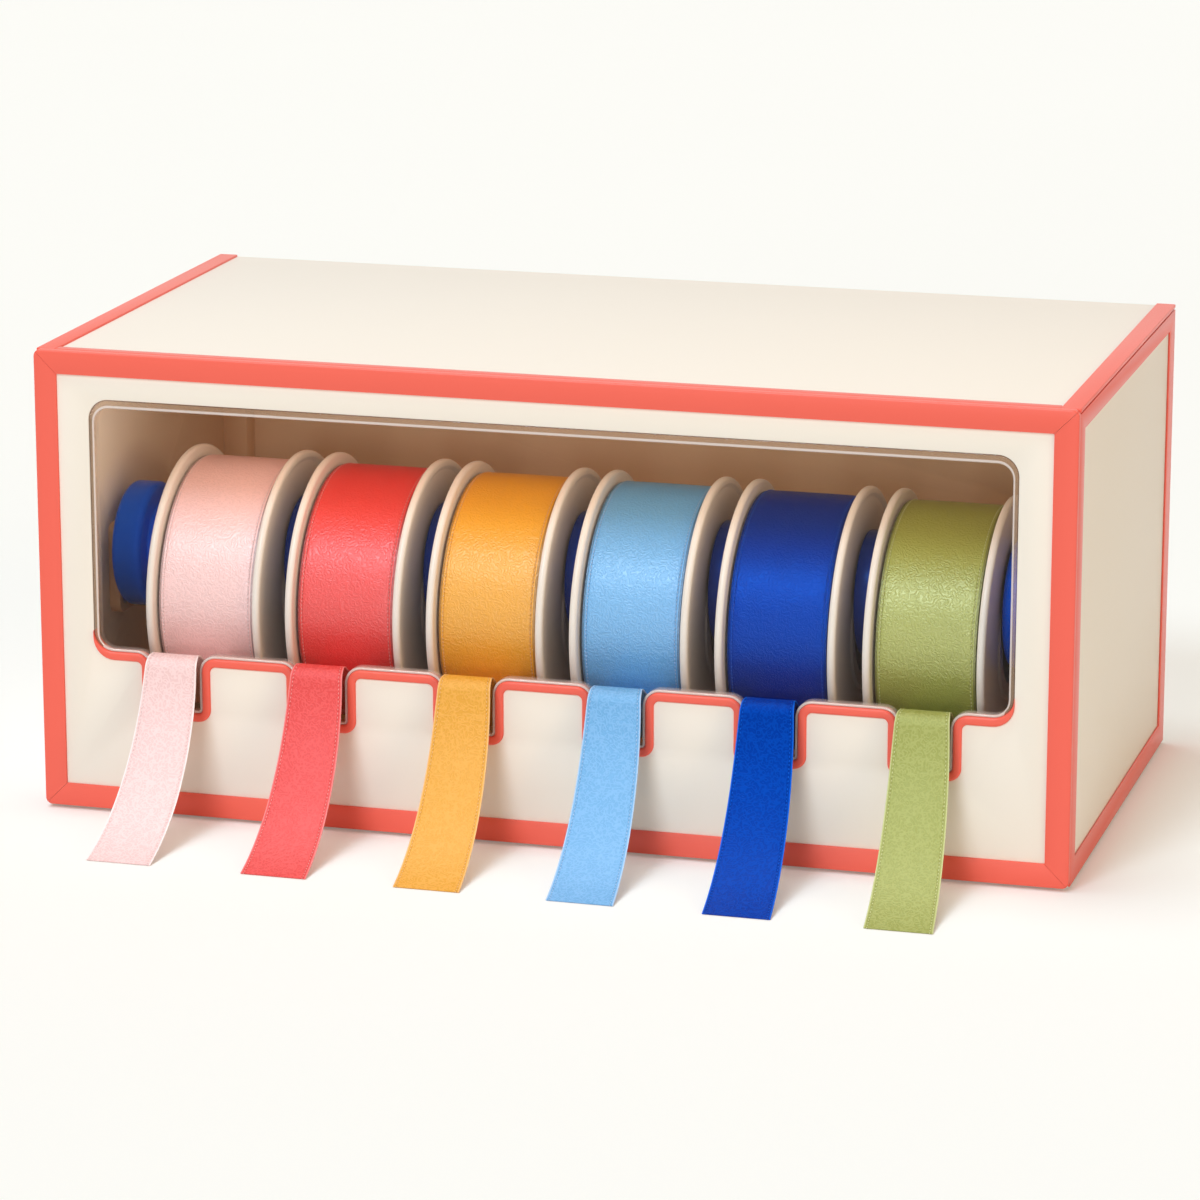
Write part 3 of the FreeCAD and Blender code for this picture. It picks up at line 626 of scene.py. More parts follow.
def ribbonMaterials(name, shade, gloss, pale):
    # One satin for the wound ribbon, one for its slack end and one for the thread of its stitches
    wound, slack, stitches = satin["wound"], satin["slack"], satin["stitches"]
    tight = {"IOR": satin["ior"], "Specular Tint": gloss, "Specular IOR Level": wound["specular"]}
    loose = dict(tight, **{"Specular IOR Level": slack["specular"]})
    # painted shade: the wound ribbon's margins are darkened beside the flanges
    materials["ribbon_" + name] = satinMaterial(
        "satin_" + name, shade, scaled(shade, 1 - wound["spread"]), scaled(shade, 1 + wound["spread"]),
        scaled(shade, wound["paintedMarginShade"]), wound["rough"], tight)
    # painted highlight and shade on a slack end: raised lines paler towards the sheen, sunk lines darker, and a
    # paler selvedge
    materials["end_" + name] = satinMaterial(
        "satinEnd_" + name, shade, scaled(shade, 1 - slack["spread"]),
        towards(shade, gloss, pale * slack["ridgeHighlightShare"]), towards(shade, gloss, pale),
        slack["rough"], loose)
    material, tree, shader = newMaterial("thread_" + name, Roughness=wound["rough"], **tight)
    sewing = towards(shade, gloss, stitches["share"])
    twist = noiseNode(tree, objectSpot(tree), stitches["scale"], detail=1.0)
    twisted = mixColour(tree, twist, scaled(sewing, stitches["shade"]), sewing)
    tree.links.new(twisted, shader.inputs["Base Color"])
    materials["thread_" + name] = material


for name, (values, sheen, pale) in ribbonColours.items():
    ribbonMaterials(name, linear(*values), linear(*sheen), pale)

# clear sheet of the window

clearSheet = {
    "sockets": {"IOR": 1.49, "Specular IOR Level": 0.5}, "speckScale": 300.0,
    "rough": 0.04, "roughSpread": 0.05, "pane": 0.01,
    # the first colour is the pale acrylic with its painted highlight, the second painted tan shade, the third a
    # painted shadow line
    "tintAndHighlight": linear(236, 222, 216), "lip": linear(196, 162, 132), "line": linear(128, 98, 84),
    # cover and colour across the bead, from its outer to its inner edge: a painted shadow line, painted tan
    # shade, then a painted highlight
    "cover": [(0.0, 0.7), (0.08, 0.6), (0.14, 0.45), (0.5, 0.4), (0.62, 0.55), (0.7, 0.85), (0.92, 0.8),
              (1.0, 0.3)],
    "tones": [(0.0, "line"), (0.1, "line"), (0.16, "lip"), (0.6, "lip"), (0.7, "tintAndHighlight"), (0.94, "tintAndHighlight"),
              (1.0, "lip")],
}


def clearMaterial():
    # Clear acrylic: almost nothing on the pane, and painted lines along the bead: a painted shadow line,
    # painted tan shade and a painted highlight where its edges catch light
    c = clearSheet
    material, tree, shader = newMaterial("clearAcrylic", **c["sockets"])
    speck = noiseNode(tree, objectSpot(tree), c["speckScale"])
    bead, across = markNode(tree, "bead"), markNode(tree, "across")
    tones = rampNode(tree, across, [(spot, c[name]) for spot, name in c["tones"]])
    cover = rampNode(tree, across, [(spot, (share, share, share, 1)) for spot, share in c["cover"]])
    shown = mathNode(tree, "MAXIMUM", mathNode(tree, "MULTIPLY", cover, bead), c["pane"])
    rough = mathNode(tree, "MULTIPLY_ADD", speck, c["roughSpread"], c["rough"])
    for label, value in (("Base Color", mixColour(tree, bead, c["tintAndHighlight"], tones)), ("Roughness", rough),
                         ("Alpha", shown)):
        tree.links.new(value, shader.inputs[label])
    return material


materials["clear_sheet"] = clearMaterial()
print("materials made:", len(materials))

# case boards, battens and small fittings: the model's own shapes with eased edges

# name of the piece, slot, easing in millimetres, steps of the easing, nodes
easedPieces = [
    ("board_{}", "cream_board", 0.4, 2, ("left_side_panel", "right_side_panel", "back_panel", "base_panel")),
    ("board_{}", "cream_board", 0.6, 2, ("back_left_batten", "back_right_batten", "left_floor_cleat",
                                       "right_floor_cleat", "lid_rest_rail")),
    ("board_{}", "cream_board", 0.15, 2, ("front_panel",)),
    ("board_lid", "cream_board", 0.3, 2, ("lid_panel",)),
    ("trim_{}", "coral_trim", 0.3, 2, ("left_side_frame", "right_side_frame")),
    ("trim_{}", "coral_trim", 0.4, 3, ("lid_left_trim", "lid_right_trim", "lid_front_trim")),
    ("fitting_{}", "cradle", 0.5, 3, ("left_cradle", "right_cradle")),
    ("fitting_{}", "hinge_brass", 0.12, 2, ("left_hinge_case_leaf", "right_hinge_case_leaf",
                                          "left_hinge_lid_leaf", "right_hinge_lid_leaf")),
    ("fitting_{}", "screw_steel", 0.15, 2, ("hinge_pins",)),
    ("foot_sheet", "mat", 0.2, 2, ("base_mat",)),
]
for name, slot, easing, steps, nodes in easedPieces:
    for node in nodes:
        dressed(node, name.format(node), slot, easing, steps)
print("boards and fittings dressed")

# mitred rails round the front

rail = {
    "cornerRound": 2.6 * mm, "innerRound": 0.5 * mm, "faceRound": 0.8 * mm, "ease": 0.35 * mm,
    "mitreGap": 0.05 * mm, "steps": 8, "sectionSteps": (4, 2),
}


def makeRails():
    low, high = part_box("front_frame_top")
    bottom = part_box("front_frame_bottom")[0].z
    band = size("front_frame_top").z
    reach, inset = high.x, high.x - band
    outerCorners = [(-reach, bottom), (reach, bottom), (reach, high.z), (-reach, high.z)]
    innerCorners = [(-inset, bottom + band), (inset, bottom + band), (inset, high.z - band),
                    (-inset, high.z - band)]
    outer = filleted(outerCorners, [rail["cornerRound"]] * 4, rail["steps"])
    inner = filleted(innerCorners, [rail["innerRound"]] * 4, rail["steps"])
    section = bandSection(low.y, high.y, rail["faceRound"], rail["ease"], rail["sectionSteps"])
    half = rail["steps"] // 2
    for i, name in enumerate(("bottom", "right", "top", "left")):
        lines = [groups[i][half:] + groups[(i + 1) % 4][:half + 1] for groups in (outer, inner)]
        for line in lines:
            line[0] = line[0] + (line[1] - line[0]).normalized() * rail["mitreGap"]
            line[-1] = line[-1] + (line[-2] - line[-1]).normalized() * rail["mitreGap"]
        obj = between("rail_" + name, *lines, section, materials["coral_trim"])
        place(obj, "case", "coral_trim", "front_frame_" + name)


makeRails()

# way of a ribbon's end: off the underside of its roll, over the bend in its notch and down

tail = {
    "crestRound": 5.5 * mm, "crestY": -102.5 * mm, "crestZ": 64.6 * mm, "offRoll": 0.6 * mm,
    "fall": math.radians(77), "rest": math.radians(17), "thick": 0.35 * mm, "rollHalf": 18.8 * mm,
    "throat": 9.4 * mm, "cutEnd": 12.7 * mm, "step": 1.1 * mm, "across": 22,
    "gathered": 5 * mm,  # this far before the crest it is at its narrowest
    "free": 8 * mm,  # this far before the crest it begins to follow the spindle
    "lean": 1.6, "endHeight": 0.32 * mm, "lowest": 0.3 * mm, "lowestStitch": 0.5 * mm,
    "stitchSink": 0.05 * mm, "smoothAngle": 50,
}


def riseAngle():
    # Slope of the line that touches the roll's underside and the bend over the notch
    low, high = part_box("ribbon_roll_1")
    centre = (low + high) / 2
    away = (high.y - low.y) / 2 + tail["offRoll"]
    run = centre.y - tail["crestY"]
    drop = centre.z - (tail["crestZ"] - tail["crestRound"])
    return math.asin((away + tail["crestRound"]) / math.hypot(run, drop)) - math.atan2(drop, run)


tail["rise"] = riseAngle()

# opening: coral trim, clear bead and pane

opening = {
    "side": 178.5 * mm, "top": 162 * mm, "sill": 60.6 * mm, "floor": 38.7 * mm, "notch": 13.8 * mm,
    "windowRound": 8 * mm, "shoulderRound": 2.2 * mm, "floorRound": 5 * mm, "band": 3.3 * mm,
    "rim": 1.1 * mm, "rimSide": 2.2 * mm, "rimTop": 3.3 * mm, "steps": 8, "trimRound": 0.9 * mm,
    "notchPitch": 58.2 * mm, "slotHalf": 10.9 * mm, "slotLow": 63.95 * mm, "slotHigh": 67.5 * mm,
    "slotReach": 5 * mm, "leastBand": 0.9 * mm, "paneSink": 1.4 * mm, "beadRound": 0.5 * mm,
    "beadSteps": (3, 3),
    # how far in the bead shows, how much of it beyond that, and its paler half beside the coral trim, where it
    # shows its painted highlight
    "beadShown": 1.2 * mm, "deepShare": 0.12, "paleStart": 0.66, "paleSpread": 0.3,
}
notchPlaces = [(i - (ribbonCount - 1) / 2) * opening["notchPitch"] for i in range(ribbonCount)]


def openingOutline(inset, sideInset=0.0, topInset=0.0):
    # Window outline with its notches, set in from the board's edge: a group of points for each corner
    o = opening
    side, top = o["side"] - sideInset, o["top"] - topInset
    sill, floor, notch = o["sill"] + inset, o["floor"] + inset, o["notch"] - inset
    window, shoulder, foot = o["windowRound"] - sideInset, o["shoulderRound"] + inset, o["floorRound"] - inset
    corners, radii = [(-side, sill)], [window]
    for x in notchPlaces:
        corners += [(x - notch, sill), (x - notch, floor), (x + notch, floor), (x + notch, sill)]
        radii += [shoulder, foot, foot, shoulder]
    corners += [(side, sill), (side, top), (-side, top)]
    return filleted(corners, radii + [window] * 3, o["steps"])


boardLine = openingOutline(0.0)
trimLine = openingOutline(opening["band"])
paneLine = openingOutline(opening["band"] + opening["rim"], opening["rimSide"], opening["rimTop"])
insertLow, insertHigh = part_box("window_insert")


def makeTrim():
    # Coral band along the sill and round the notches, to where it runs out at the window's sides
    low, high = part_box("opening_trim")
    sillGroups = 2 + 4 * ribbonCount
    pairs = zip(flat(boardLine[:sillGroups]), flat(trimLine[:sillGroups]))
    outer, inner = zip(*[(a, b) for a, b in pairs if (b - a).length > opening["leastBand"]])
    section = bandSection(low.y, high.y, opening["trimRound"], opening["trimRound"])
    obj = between("openingTrim", outer, inner, section, materials["coral_trim"])
    place(obj, "case", "coral_trim", "opening_trim")


def makeBead():
    o = opening
    section = bandSection(insertLow.y, insertHigh.y, o["beadRound"], o["beadRound"], o["beadSteps"])
    obj = between("windowBead", flat(trimLine), flat(paneLine), section, materials["clear_sheet"],
                  closed=True)
    shallow = insertLow.y + o["beadShown"]
    addMark(obj.data, "bead", [1.0 if v.co.y < shallow else o["deepShare"] for v in obj.data.vertices])
    across = obj.data.attributes["across"].data
    ledge = o["sill"] + o["band"] + 2 * o["rim"]
    # beside the coral trim the bead shows only its painted highlight, without the painted shadow line
    for v in obj.data.vertices:
        if v.co.z < ledge:  # beside the coral trim the whole bead is pale
            across[v.index].value = o["paleStart"] + o["paleSpread"] * across[v.index].value
    place(obj, "case", "clear_sheet", "window_insert")


def makePane():
    # Thin clear sheet inside the bead, open at the slots that the ribbons come through
    o = opening
    front = insertLow.y + o["paneSink"]
    work = bmesh.new()
    face = work.faces.new([work.verts.new((p.x, front, p.y)) for p in flat(paneLine)])
    extruded = bmesh.ops.extrude_face_region(work, geom=[face])["geom"]
    back = [item for item in extruded if isinstance(item, bmesh.types.BMVert)]
    bmesh.ops.translate(work, verts=back, vec=(0, insertHigh.y - front, 0))
    bmesh.ops.recalc_face_normals(work, faces=work.faces)
    mesh = bpy.data.meshes.new("windowPane")
    work.to_mesh(mesh)
    work.free()
    points, faces = [], []
    quads = [(0, 1, 3, 2), (4, 6, 7, 5), (0, 4, 5, 1), (2, 3, 7, 6), (0, 2, 6, 4), (1, 5, 7, 3)]
    for x in notchPlaces:
        faces += [tuple(len(points) + i for i in quad) for quad in quads]
        for z in (o["slotLow"], o["slotHigh"]):
            for y in (insertLow.y - o["slotReach"], insertHigh.y + o["slotReach"]):
                slope = (y - insertLow.y) * math.tan(tail["rise"])
                points += [(x - o["slotHalf"], y, z - slope), (x + o["slotHalf"], y, z - slope)]
    obj = carved(addObject("windowPane", mesh, materials["clear_sheet"]), points, faces)
    place(obj, "case", "clear_sheet")


makeTrim()
makeBead()
makePane()
print("front rails, trim and window made")

# spindle: rod, hubs and spacers

spindle = {
    "rodRadius": 5 * mm, "rodEdge": 0.6 * mm, "rodHeart": 0.3 * mm, "rodSegments": 64,
    "bore": 5.05 * mm, "spacerEdge": 0.5 * mm, "segments": 128,
}
hub = {
    "thick": 12 * mm, "neck": 16 * mm, "dish": 0.8 * mm, "rimBand": 4 * mm, "boss": 9 * mm, "slope": 1 * mm,
    "rounds": [0, 0.6 * mm, 1 * mm, 2.2 * mm, 2.6 * mm, 0.4 * mm, 0.5 * mm, 0.5 * mm, 0.4 * mm, 0],
}


def smoothProfile(corners, radii, steps=6):
    # Closed profile with rounded corners, as plain (x, radius) pairs
    return [(point.x, point.y) for point in flat(filleted(corners, radii, steps))]


def barrelProfile(half, inner, outer, rounding):
    # A plain rod or disc with both outer edges rounded
    corners = [(-half, inner), (-half, outer), (half, outer), (half, inner)]
    return smoothProfile(corners, [0, rounding, rounding, 0], 3)


def makeSpindle():
    s, h = spindle, hub
    rod = barrelProfile(size("spindle_rod").x / 2, s["rodHeart"], s["rodRadius"], s["rodEdge"])
    lathe("spindleRod", rod, Vector((0, axis.y, axis.z)), "spindle", "rod_steel",
          s["rodSegments"], ["spindle_rod"])
    for name in ("left_hub", "right_hub"):
        length, radius = size(name).x, size(name).y / 2
        rim = radius - h["rimBand"]
        corners = [(length, s["bore"]), (length, h["neck"]), (h["thick"], h["neck"]), (h["thick"], radius),
                   (0, radius), (0, rim), (h["dish"], rim - h["slope"]), (h["dish"], h["boss"] + h["slope"]),
                   (0, h["boss"]), (0, s["bore"])]
        lathe("hub_" + name, smoothProfile(corners, h["rounds"]), Vector((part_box(name)[0].x, axis.y, axis.z)),
              "spindle", "blue_hub", s["segments"], [name])
    for i in range(1, ribbonCount):
        node = f"spacer_{i}"
        disc = barrelProfile(size(node).x / 2, s["bore"], size(node).y / 2, s["spacerEdge"])
        # the spacers' darker blue is painted shade
        lathe(f"spacerDisc_{i}", disc, middle(node), "spindle", "blue_hub", s["segments"], [node],
              finish="spacer")


makeSpindle()

# spools and wound ribbon

spool = {
    "bore": 18 * mm, "core": 19.8 * mm, "inside": 20 * mm, "dish": 0.7 * mm, "rimBand": 4 * mm,
    "rimSlope": 1.5 * mm, "boss": 23 * mm, "bossSlope": 1.2 * mm, "leastThick": 1 * mm, "segments": 160,
    "rounds": [0, 0.5 * mm, 0.5 * mm, 0.6 * mm, 0.6 * mm, 1.3 * mm, 1.3 * mm, 0.4 * mm],
}
roll = {
    "halfWidth": 18.9 * mm, "edgeRound": 0.35 * mm, "edgePower": 14, "steps": 22, "crown": 0.12 * mm,
    "segments": 192, "margin": 0.4 * mm, "offCore": 0.2 * mm, "turns": 16, "firstTurn": 0.7 * mm,
    "sideInset": 0.2 * mm, "stagger": 0.12 * mm, "drift": 0.08 * mm, "driftTurn": 2.3,
    "stitchSpots": 360, "stitchSink": 0.07 * mm, "smoothAngle": 60,
}
stitch = {"pitch": 1.5 * mm, "size": (0.4 * mm, 0.34 * mm, 1.05 * mm), "inset": 1.25 * mm}
stitches = stitchTree()


def spoolProfile(half, radius):
    # Flanged spool with a raised rim and boss on each outer face
    s = spool
    sunk, rim = half - s["dish"], radius - s["rimBand"]
    right = [(half, s["bore"]), (half, s["boss"]), (sunk, s["boss"] + s["bossSlope"]), (sunk, rim),
             (half, rim + s["rimSlope"]), (half, radius), (s["inside"], radius), (s["inside"], s["core"])]
    left = [(-x, r) for x, r in reversed(right)]
    return smoothProfile(right + left, s["rounds"] + s["rounds"][::-1])


def flangeDepth(x, r, radius):
    # How far in towards the boss a point of a flange's outer face lies, from 0 to 1, which sets how dark its
    # painted shade is
    if abs(x) < spool["inside"] + spool["leastThick"]:
        return 0.0
    outer = radius - spool["rimBand"]
    return max(0.0, min(1.0, (outer - r) / (outer - spool["boss"])))


def rollProfile(radius, bore):
    # Wound ribbon: crowned face, rounded margins and fine steps of turns on both sides
    r = roll
    half = r["halfWidth"]
    face, side = [], []
    for step in range(r["steps"] + 1):
        share = 2 * step / r["steps"] - 1
        inset = r["edgeRound"] * abs(share) ** r["edgePower"]
        face.append((share * half, radius - r["crown"] * share * share - inset))
    first = radius - r["firstTurn"]
    for turn in range(r["turns"]):
        depth = first - (first - bore) * turn / r["turns"]
        step = r["stagger"] * (1 if turn % 2 else -1) + r["drift"] * math.sin(turn * r["driftTurn"])
        side.append((half - r["sideInset"] + step, depth))
    return face + side + [(-x, depth) for x, depth in reversed(side)]


def sew(name, points, edges, colour, body):
    # Rows of stitches along edge lines, in the thread of a ribbon's colour
    thread = materials["thread_" + colour]
    values = {"Pitch": stitch["pitch"], "Bead Size": stitch["size"], "Material": thread}
    return place(grown(name, points, edges, stitches, values, thread), body, "ribbon_" + colour)


def makeReel(i, colour):
    body = f"reel_{i}"
    centre, extent = middle(f"spool_{i}"), size(f"spool_{i}")
    radius = extent.y / 2
    profile = spoolProfile(extent.x / 2, radius)
    # painted shade on the outer flange faces, darker towards the boss
    depth = [flangeDepth(x, r, radius) for x, r in profile]
    lathe(f"spoolShell_{i}", profile, centre, body, "spool_white", spool["segments"], [f"spool_{i}"],
          marks={"depth": depth})
    rollRadius = size(f"ribbon_roll_{i}").y / 2
    profile = rollProfile(rollRadius, spool["core"] + roll["offCore"])
    wound = lathe(f"woundRibbon_{i}", profile, centre, body, "ribbon_" + colour, roll["segments"],
                  [f"ribbon_roll_{i}"], roll["smoothAngle"])
    # the margin sets where the painted shade along the wound ribbon's edges begins
    faceHalf = roll["halfWidth"] - roll["margin"]
    addMark(wound.data, "edgeGap", [faceHalf - abs(v.co.x - centre.x) for v in wound.data.vertices])
    count, lift = roll["stitchSpots"], rollRadius - roll["stitchSink"]
    points, edges = [], []
    for side in (-1, 1):
        first = len(points)
        x = centre.x + side * (faceHalf - stitch["inset"])
        for k in range(count):
            turn = 2 * math.pi * k / count
            points.append((x, centre.y + lift * math.cos(turn), centre.z + lift * math.sin(turn)))
            edges.append((first + k, first + (k + 1) % count))
    sew(f"rollStitches_{i}", points, edges, colour, body)


for i, colour in enumerate(ribbonNames, 1):
    makeReel(i, colour)
print("spindle, spools and wound ribbons made")

# ribbon ends

# bow and sideways shift of each end, in millimetres
ribbonSway = [(0.25, -1.2), (0.3, 1.6), (0.2, 2.6), (0.35, 2.8), (0.25, 3.2), (0.3, 4.6)]


def outward(angle):
    # The way the ribbon's upper face looks where it has turned down by an angle
    return Vector((-math.sin(angle), math.cos(angle)))


def tailRoute():
    # Middle line of a ribbon's end in the YZ plane, evenly spaced: way gone, (y, z) point and angle
    t = tail
    rise, fall, rest, bend = t["rise"], t["fall"], t["rest"], t["crestRound"]
    centre, away = middle("ribbon_roll_1"), size("ribbon_roll_1").y / 2 + t["offRoll"]
    start = Vector((centre.y - away * math.sin(rise), centre.z - away * math.cos(rise)))
    crest = Vector((t["crestY"], t["crestZ"] - bend))
    onCrest = crest + outward(-rise) * bend
    drop = crest + outward(fall) * bend
    sweep = (drop.y - t["endHeight"]) / (math.cos(rest) - math.cos(fall))
    below = drop + outward(fall) * sweep
    straight = (start - onCrest).length
    bent = straight + bend * (rise + fall)
    total = bent + sweep * (fall - rest)
    count = int(total / t["step"])
    route = []
    for k in range(count + 1):
        s = total * k / count
        if s <= straight:
            angle = -rise
            spot = start + Vector((-math.cos(rise), math.sin(rise))) * s
        elif s <= bent:
            angle = -rise + (s - straight) / bend
            spot = crest + outward(angle) * bend
        else:
            angle = fall - (s - bent) / sweep
            spot = below - outward(angle) * sweep
        route.append((s, spot, angle))
    return route, total


def spread(s, crestS, total):
    # Half width of a ribbon's end and how far it has gone: back to its roll below 0, out above 0
    t = tail
    if s < crestS:
        share = min(1.0, s / (crestS - t["gathered"]))
        ease = share * share * (3 - 2 * share)
        return t["rollHalf"] + (t["throat"] - t["rollHalf"]) * ease, ease - 1
    out = (s - crestS) / (total - crestS)
    return t["throat"] + (t["cutEnd"] - t["throat"]) * math.sqrt(out), out


def makeTail(i, colour, bow, shift):
    t = tail
    route, total = tailRoute()
    notch = notchPlaces[i - 1]
    rollSide = middle(f"ribbon_roll_{i}").x - notch
    crestS = min(route, key=lambda item: abs(item[2]))[0]
    lines = []
    for s, spot, angle in route:
        half, out = spread(s, crestS, total)
        aside = shift * mm * out ** t["lean"] if out > 0 else -rollSide * out
        bulge = bow * mm * math.sin(math.pi * out) if out > 0 else 0
        lines.append((s, spot, outward(angle), half, notch + aside, bulge))
    across = t["across"]
    points, gaps, area = [], [], 0.0
    for number, (s, spot, normal, half, centreX, bulge) in enumerate(lines):
        for k in range(across + 1):
            share = 2 * k / across - 1
            point = spot + normal * bulge * (1 - share * share) * 2
            points.append((centreX + share * half, point.x, max(point.y, t["lowest"])))
            gaps.append(half * (1 - abs(share)))
        if number:
            area += (half + lastHalf) * (s - lastS)
        lastHalf, lastS = half, s
    name = f"ribbonEnd_{i}"
    mesh = bpy.data.meshes.new(name)
    mesh.from_pydata(points, [], ringFaces(len(lines), across + 1, through=False))
    addMark(mesh, "edgeGap", gaps)
    obj = addObject(name, mesh, materials["end_" + colour])
    thicken = obj.modifiers.new("thicken", "SOLIDIFY")
    thicken.thickness = t["thick"]
    thicken.offset = 0
    applied(obj)
    shadeSmooth(obj.data, t["smoothAngle"])
    place(obj, None, "ribbon_" + colour, f"ribbon_tail_{i}")
    points, edges = [], []
    for side in (-1, 1):
        first = len(points)
        for k, (s, spot, normal, half, centreX, bulge) in enumerate(lines):
            reach = half - stitch["inset"]
            share = reach / half
            point = spot + normal * (t["thick"] / 2 - t["stitchSink"] + bulge * (1 - share * share) * 2)
            points.append((centreX + side * reach, point.x, max(point.y, t["lowestStitch"])))
            if k:
                edges.append((first + k - 1, first + k))
    sewn = sew(f"endStitches_{i}", points, edges, colour, None)
    for piece in (obj, sewn):
        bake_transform(piece)


for i, (colour, sway) in enumerate(zip(ribbonNames, ribbonSway), 1):
    makeTail(i, colour, *sway)
print("ribbon ends made")

# screws with cross recesses

# the cross as shares of the head's radius and depth: arms, their half width, how deep it goes, and
# its narrowing from the mouth to the foot
screw = {
    "segments": 32, "heart": 0.02 * mm, "arm": 0.62, "wide": 0.13, "deep": 0.8, "foot": 0.45, "mouth": 1.3,
    "smoothAngle": 30,
}
# radius of the head, radius of the shank and length, in millimetres
screwSizes = {"large": (3, 1.5, 13), "medium": (3, 1.5, 8.5), "small": (1.8, 1, 5)}
screws = screwTree()


def screwHead(name, head, shank, length):
    # Countersunk screw along -Z with a cross cut in its face
    sink = head - shank
    profile = [(screw["heart"], 0), (head, 0), (shank, -sink), (shank, -length + shank),
               (screw["heart"], -length)]
    rings, segments = len(profile), screw["segments"]
    points = []
    for k in range(segments):
        turn = 2 * math.pi * k / segments
        points += [(r * math.cos(turn), r * math.sin(turn), z) for r, z in profile]
    faces = ringFaces(segments, rings, around=True, through=False)
    faces.append(tuple(k * rings for k in range(segments)))
    faces.append(tuple(k * rings + rings - 1 for k in reversed(range(segments))))
    obj = addObject(name, meshFrom(name, points, faces, screw["smoothAngle"]),
                    materials["screw_steel"])
    arm, wide, deep = head * screw["arm"], head * screw["wide"], sink * screw["deep"]
    quads = [(3, 2, 1, 0), (4, 5, 6, 7), (0, 1, 5, 4), (1, 2, 6, 5), (2, 3, 7, 6), (3, 0, 4, 7)]
    for x, y in ((arm, wide), (wide, arm)):
        corners = [(a * x * s, b * y * s, z) for z, s in ((-deep, screw["foot"]), (deep, screw["mouth"]))
                   for a, b in ((-1, -1), (1, -1), (1, 1), (-1, 1))]
        carved(obj, corners, quads)
    return obj


def screwPlaces(node, side, sign, pick):
    # Middles of the screw heads of a node: the solids' own places on one face
    work = bmesh.new()
    work.from_mesh(frame["nodes"][node].data)
    bmesh.ops.remove_doubles(work, verts=work.verts, dist=weldReach)
    places, seen = [], set()
    for vert in work.verts:
        if vert in seen:
            continue
        stack, part = [vert], []
        seen.add(vert)
        while stack:
            spot = stack.pop()
            part.append(spot.co.copy())
            for edge in spot.link_edges:
                other = edge.other_vert(spot)
                if other not in seen:
                    seen.add(other)
                    stack.append(other)
        low = Vector([min(p[k] for p in part) for k in range(3)])
        high = Vector([max(p[k] for p in part) for k in range(3)])
        spot = (low + high) / 2
        spot[side] = high[side] if sign > 0 else low[side]
        if pick(high - low, spot):
            places.append(spot)
    work.free()
    return places


def makeScrews():
    kinds = {name: screwHead(name + "Screw", *(value * mm for value in sizes))
             for name, sizes in screwSizes.items()}
    metal = materials["screw_steel"]
    quarter = math.pi / 2
    longest = 8 * mm  # a case screw that reaches further than this along Y is one of the back's
    # name, node, axis and side of the heads, which of the node's screws, their kind, turn, body
    sets = [
        ("backScrews", "case_screws", 1, 1, lambda span, spot: span.y > longest,
         "large", (-quarter, 0, 0), "case"),
        ("caseLeafScrews", "case_screws", 2, 1, lambda span, spot: span.y < longest,
         "small", (0, 0, 0), "case"),
        ("leftCradleScrews", "cradle_screws", 0, 1, lambda span, spot: spot.x < 0,
         "medium", (0, quarter, 0), "case"),
        ("rightCradleScrews", "cradle_screws", 0, -1, lambda span, spot: spot.x > 0,
         "medium", (0, -quarter, 0), "case"),
        ("lidLeafScrews", "hinge_lid_screws", 2, -1, lambda span, spot: True,
         "small", (2 * quarter, 0, 0), "lid"),
    ]
    for name, node, side, sign, pick, kind, turn, body in sets:
        values = {"Screw": kinds[kind], "Turn": turn, "Material": metal}
        obj = grown(name, screwPlaces(node, side, sign, pick), [], screws, values, metal)
        shadeSmooth(obj.data, screw["smoothAngle"])
        place(obj, body, "screw_steel", node)
    for obj in kinds.values():
        bpy.data.objects.remove(obj)


makeScrews()
print("screws made")

# stage, light and camera

studio = {
    "floor": linear(231, 236, 235), "floorShade": 0.985, "floorScale": 2.0, "floorReach": 30.0,
    "floorGlow": (0.22, 0.175, 0.155, 1),
    "skyStrength": 0.36, "sky": (0.95, 0.81, 0.63, 1), "background": linear(254, 253, 248),
    # name, strength, spread in degrees, where it shines from, colour
    "lamps": [("key", 1.06, 16, (-0.3, -0.95, 1.0), (0.755, 0.887, 1.0)),
              ("fill", 0.436, 12, (0.0, -1.0, 0.12), (0.963, 0.975, 1.0)),
              ("above", 1.4, 30, (-0.2, 0.0, 1.0), (0.856, 0.933, 1.0)),
              ("side", 0.566, 26, (1.0, -0.5, 0.3), (1.0, 0.728, 0.426))],
    # soft light under the lid, as pale board would throw back
    "inside": {"power": 0.052, "long": 0.34, "wide": 0.012, "at": (0, -0.086, 0.166), "to": (0, 0.8, -0.6),
               "colour": (1.0, 0.84, 0.68)},
    "camera": {"at": (0.5111, -1.8241, 0.5584), "to": (-0.2645, 0.9316, -0.2492), "lens": 150,
               "near": 0.05, "far": 100},
}


def directRays(tree):
    # 1 for what the camera sees straight, in glossy surfaces or through glass
    rays = tree.nodes.new("ShaderNodeLightPath").outputs
    seen = mathNode(tree, "MAXIMUM", rays["Is Camera Ray"], rays["Is Glossy Ray"])
    return mathNode(tree, "MAXIMUM", seen, rays["Is Transmission Ray"])


def aimed(name, data, direction, forward="-Z"):
    # A lamp or camera whose own forward axis points in a direction
    obj = bpy.data.objects.new(name, data)
    obj.rotation_mode = "QUATERNION"
    obj.rotation_quaternion = Vector(direction).to_track_quat(forward, "Y")
    bpy.context.scene.collection.objects.link(obj)
    return obj


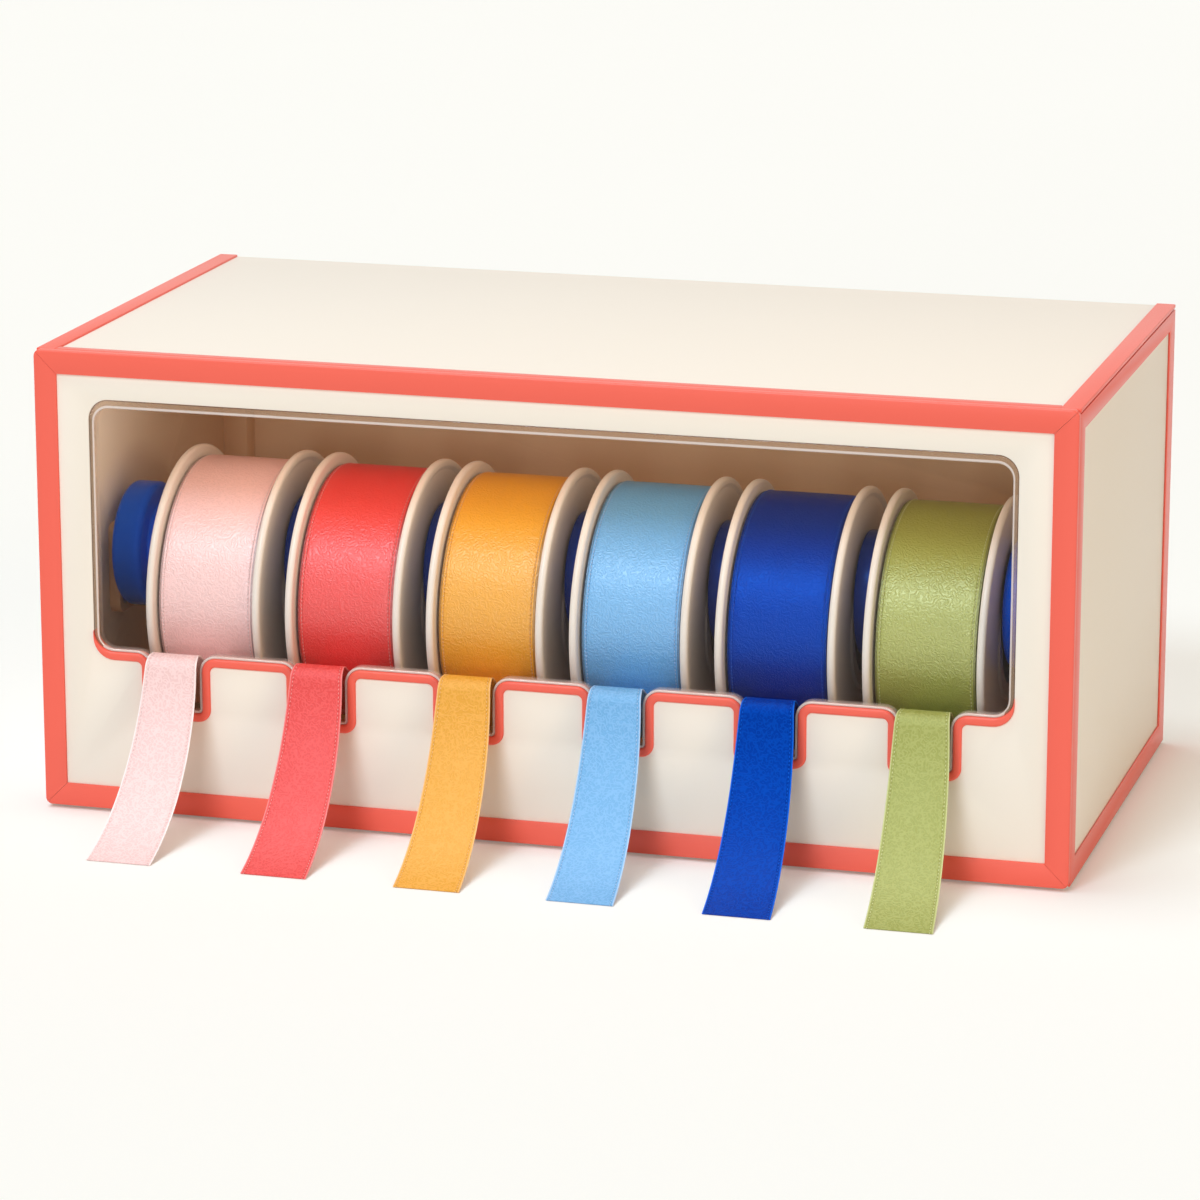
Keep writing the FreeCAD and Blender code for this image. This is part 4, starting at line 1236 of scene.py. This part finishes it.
def makeFloor():
    reach = studio["floorReach"]
    mesh = bpy.data.meshes.new("counter")
    mesh.from_pydata([(-reach, -reach, 0), (reach, -reach, 0), (reach, reach, 0), (-reach, reach, 0)], [],
                     [(0, 1, 2, 3)])
    material, tree, shader = newMaterial("counterTop", **{
        "Roughness": 0.9, "Specular IOR Level": 0.0, "Emission Color": studio["floorGlow"]})
    mottle = noiseNode(tree, objectSpot(tree), studio["floorScale"])
    tone = mixColour(tree, mottle, scaled(studio["floor"], studio["floorShade"]), studio["floor"])
    tree.links.new(tone, shader.inputs["Base Color"])
    tree.links.new(directRays(tree), shader.inputs["Emission Strength"])
    addObject("counter", mesh, material)


def makeSky():
    # Warm light from all round, and a plain pale background where the camera looks past the object
    world = bpy.data.worlds.new("studio")
    bpy.context.scene.world = world
    world.use_nodes = True
    nodes, links = world.node_tree.nodes, world.node_tree.links
    sky, seen = nodes["Background"], nodes.new("ShaderNodeBackground")
    sky.inputs["Color"].default_value = studio["sky"]
    sky.inputs["Strength"].default_value = studio["skyStrength"]
    seen.inputs["Color"].default_value = studio["background"]
    mix = nodes.new("ShaderNodeMixShader")
    sources = (directRays(world.node_tree), sky.outputs[0], seen.outputs[0])
    for socket, source in zip(mix.inputs, sources):
        links.new(source, socket)
    links.new(mix.outputs[0], nodes["World Output"].inputs["Surface"])


def makeLamps():
    for name, strength, spreadAngle, origin, colour in studio["lamps"]:
        lamp = bpy.data.lights.new(name, "SUN")
        lamp.energy = strength
        lamp.angle = math.radians(spreadAngle)
        lamp.color = colour
        aimed(name, lamp, origin, "Z")
    strip = studio["inside"]
    lamp = bpy.data.lights.new("inside", "AREA")
    lamp.shape = "RECTANGLE"
    lamp.size, lamp.size_y = strip["long"], strip["wide"]
    lamp.energy = strip["power"]
    lamp.color = strip["colour"]
    light = aimed("inside", lamp, strip["to"])
    light.location = strip["at"]
    light.visible_camera = False
    light.visible_glossy = False


def makeCamera():
    view = studio["camera"]
    camera = aimed("camera", bpy.data.cameras.new("camera"), view["to"])
    camera.location = view["at"]
    camera.data.lens = view["lens"]
    camera.data.clip_start, camera.data.clip_end = view["near"], view["far"]
    bpy.context.scene.camera = camera
    bpy.context.scene.view_settings.view_transform = "Standard"


makeFloor()
makeSky()
makeLamps()
makeCamera()
print("stage, light and camera set")
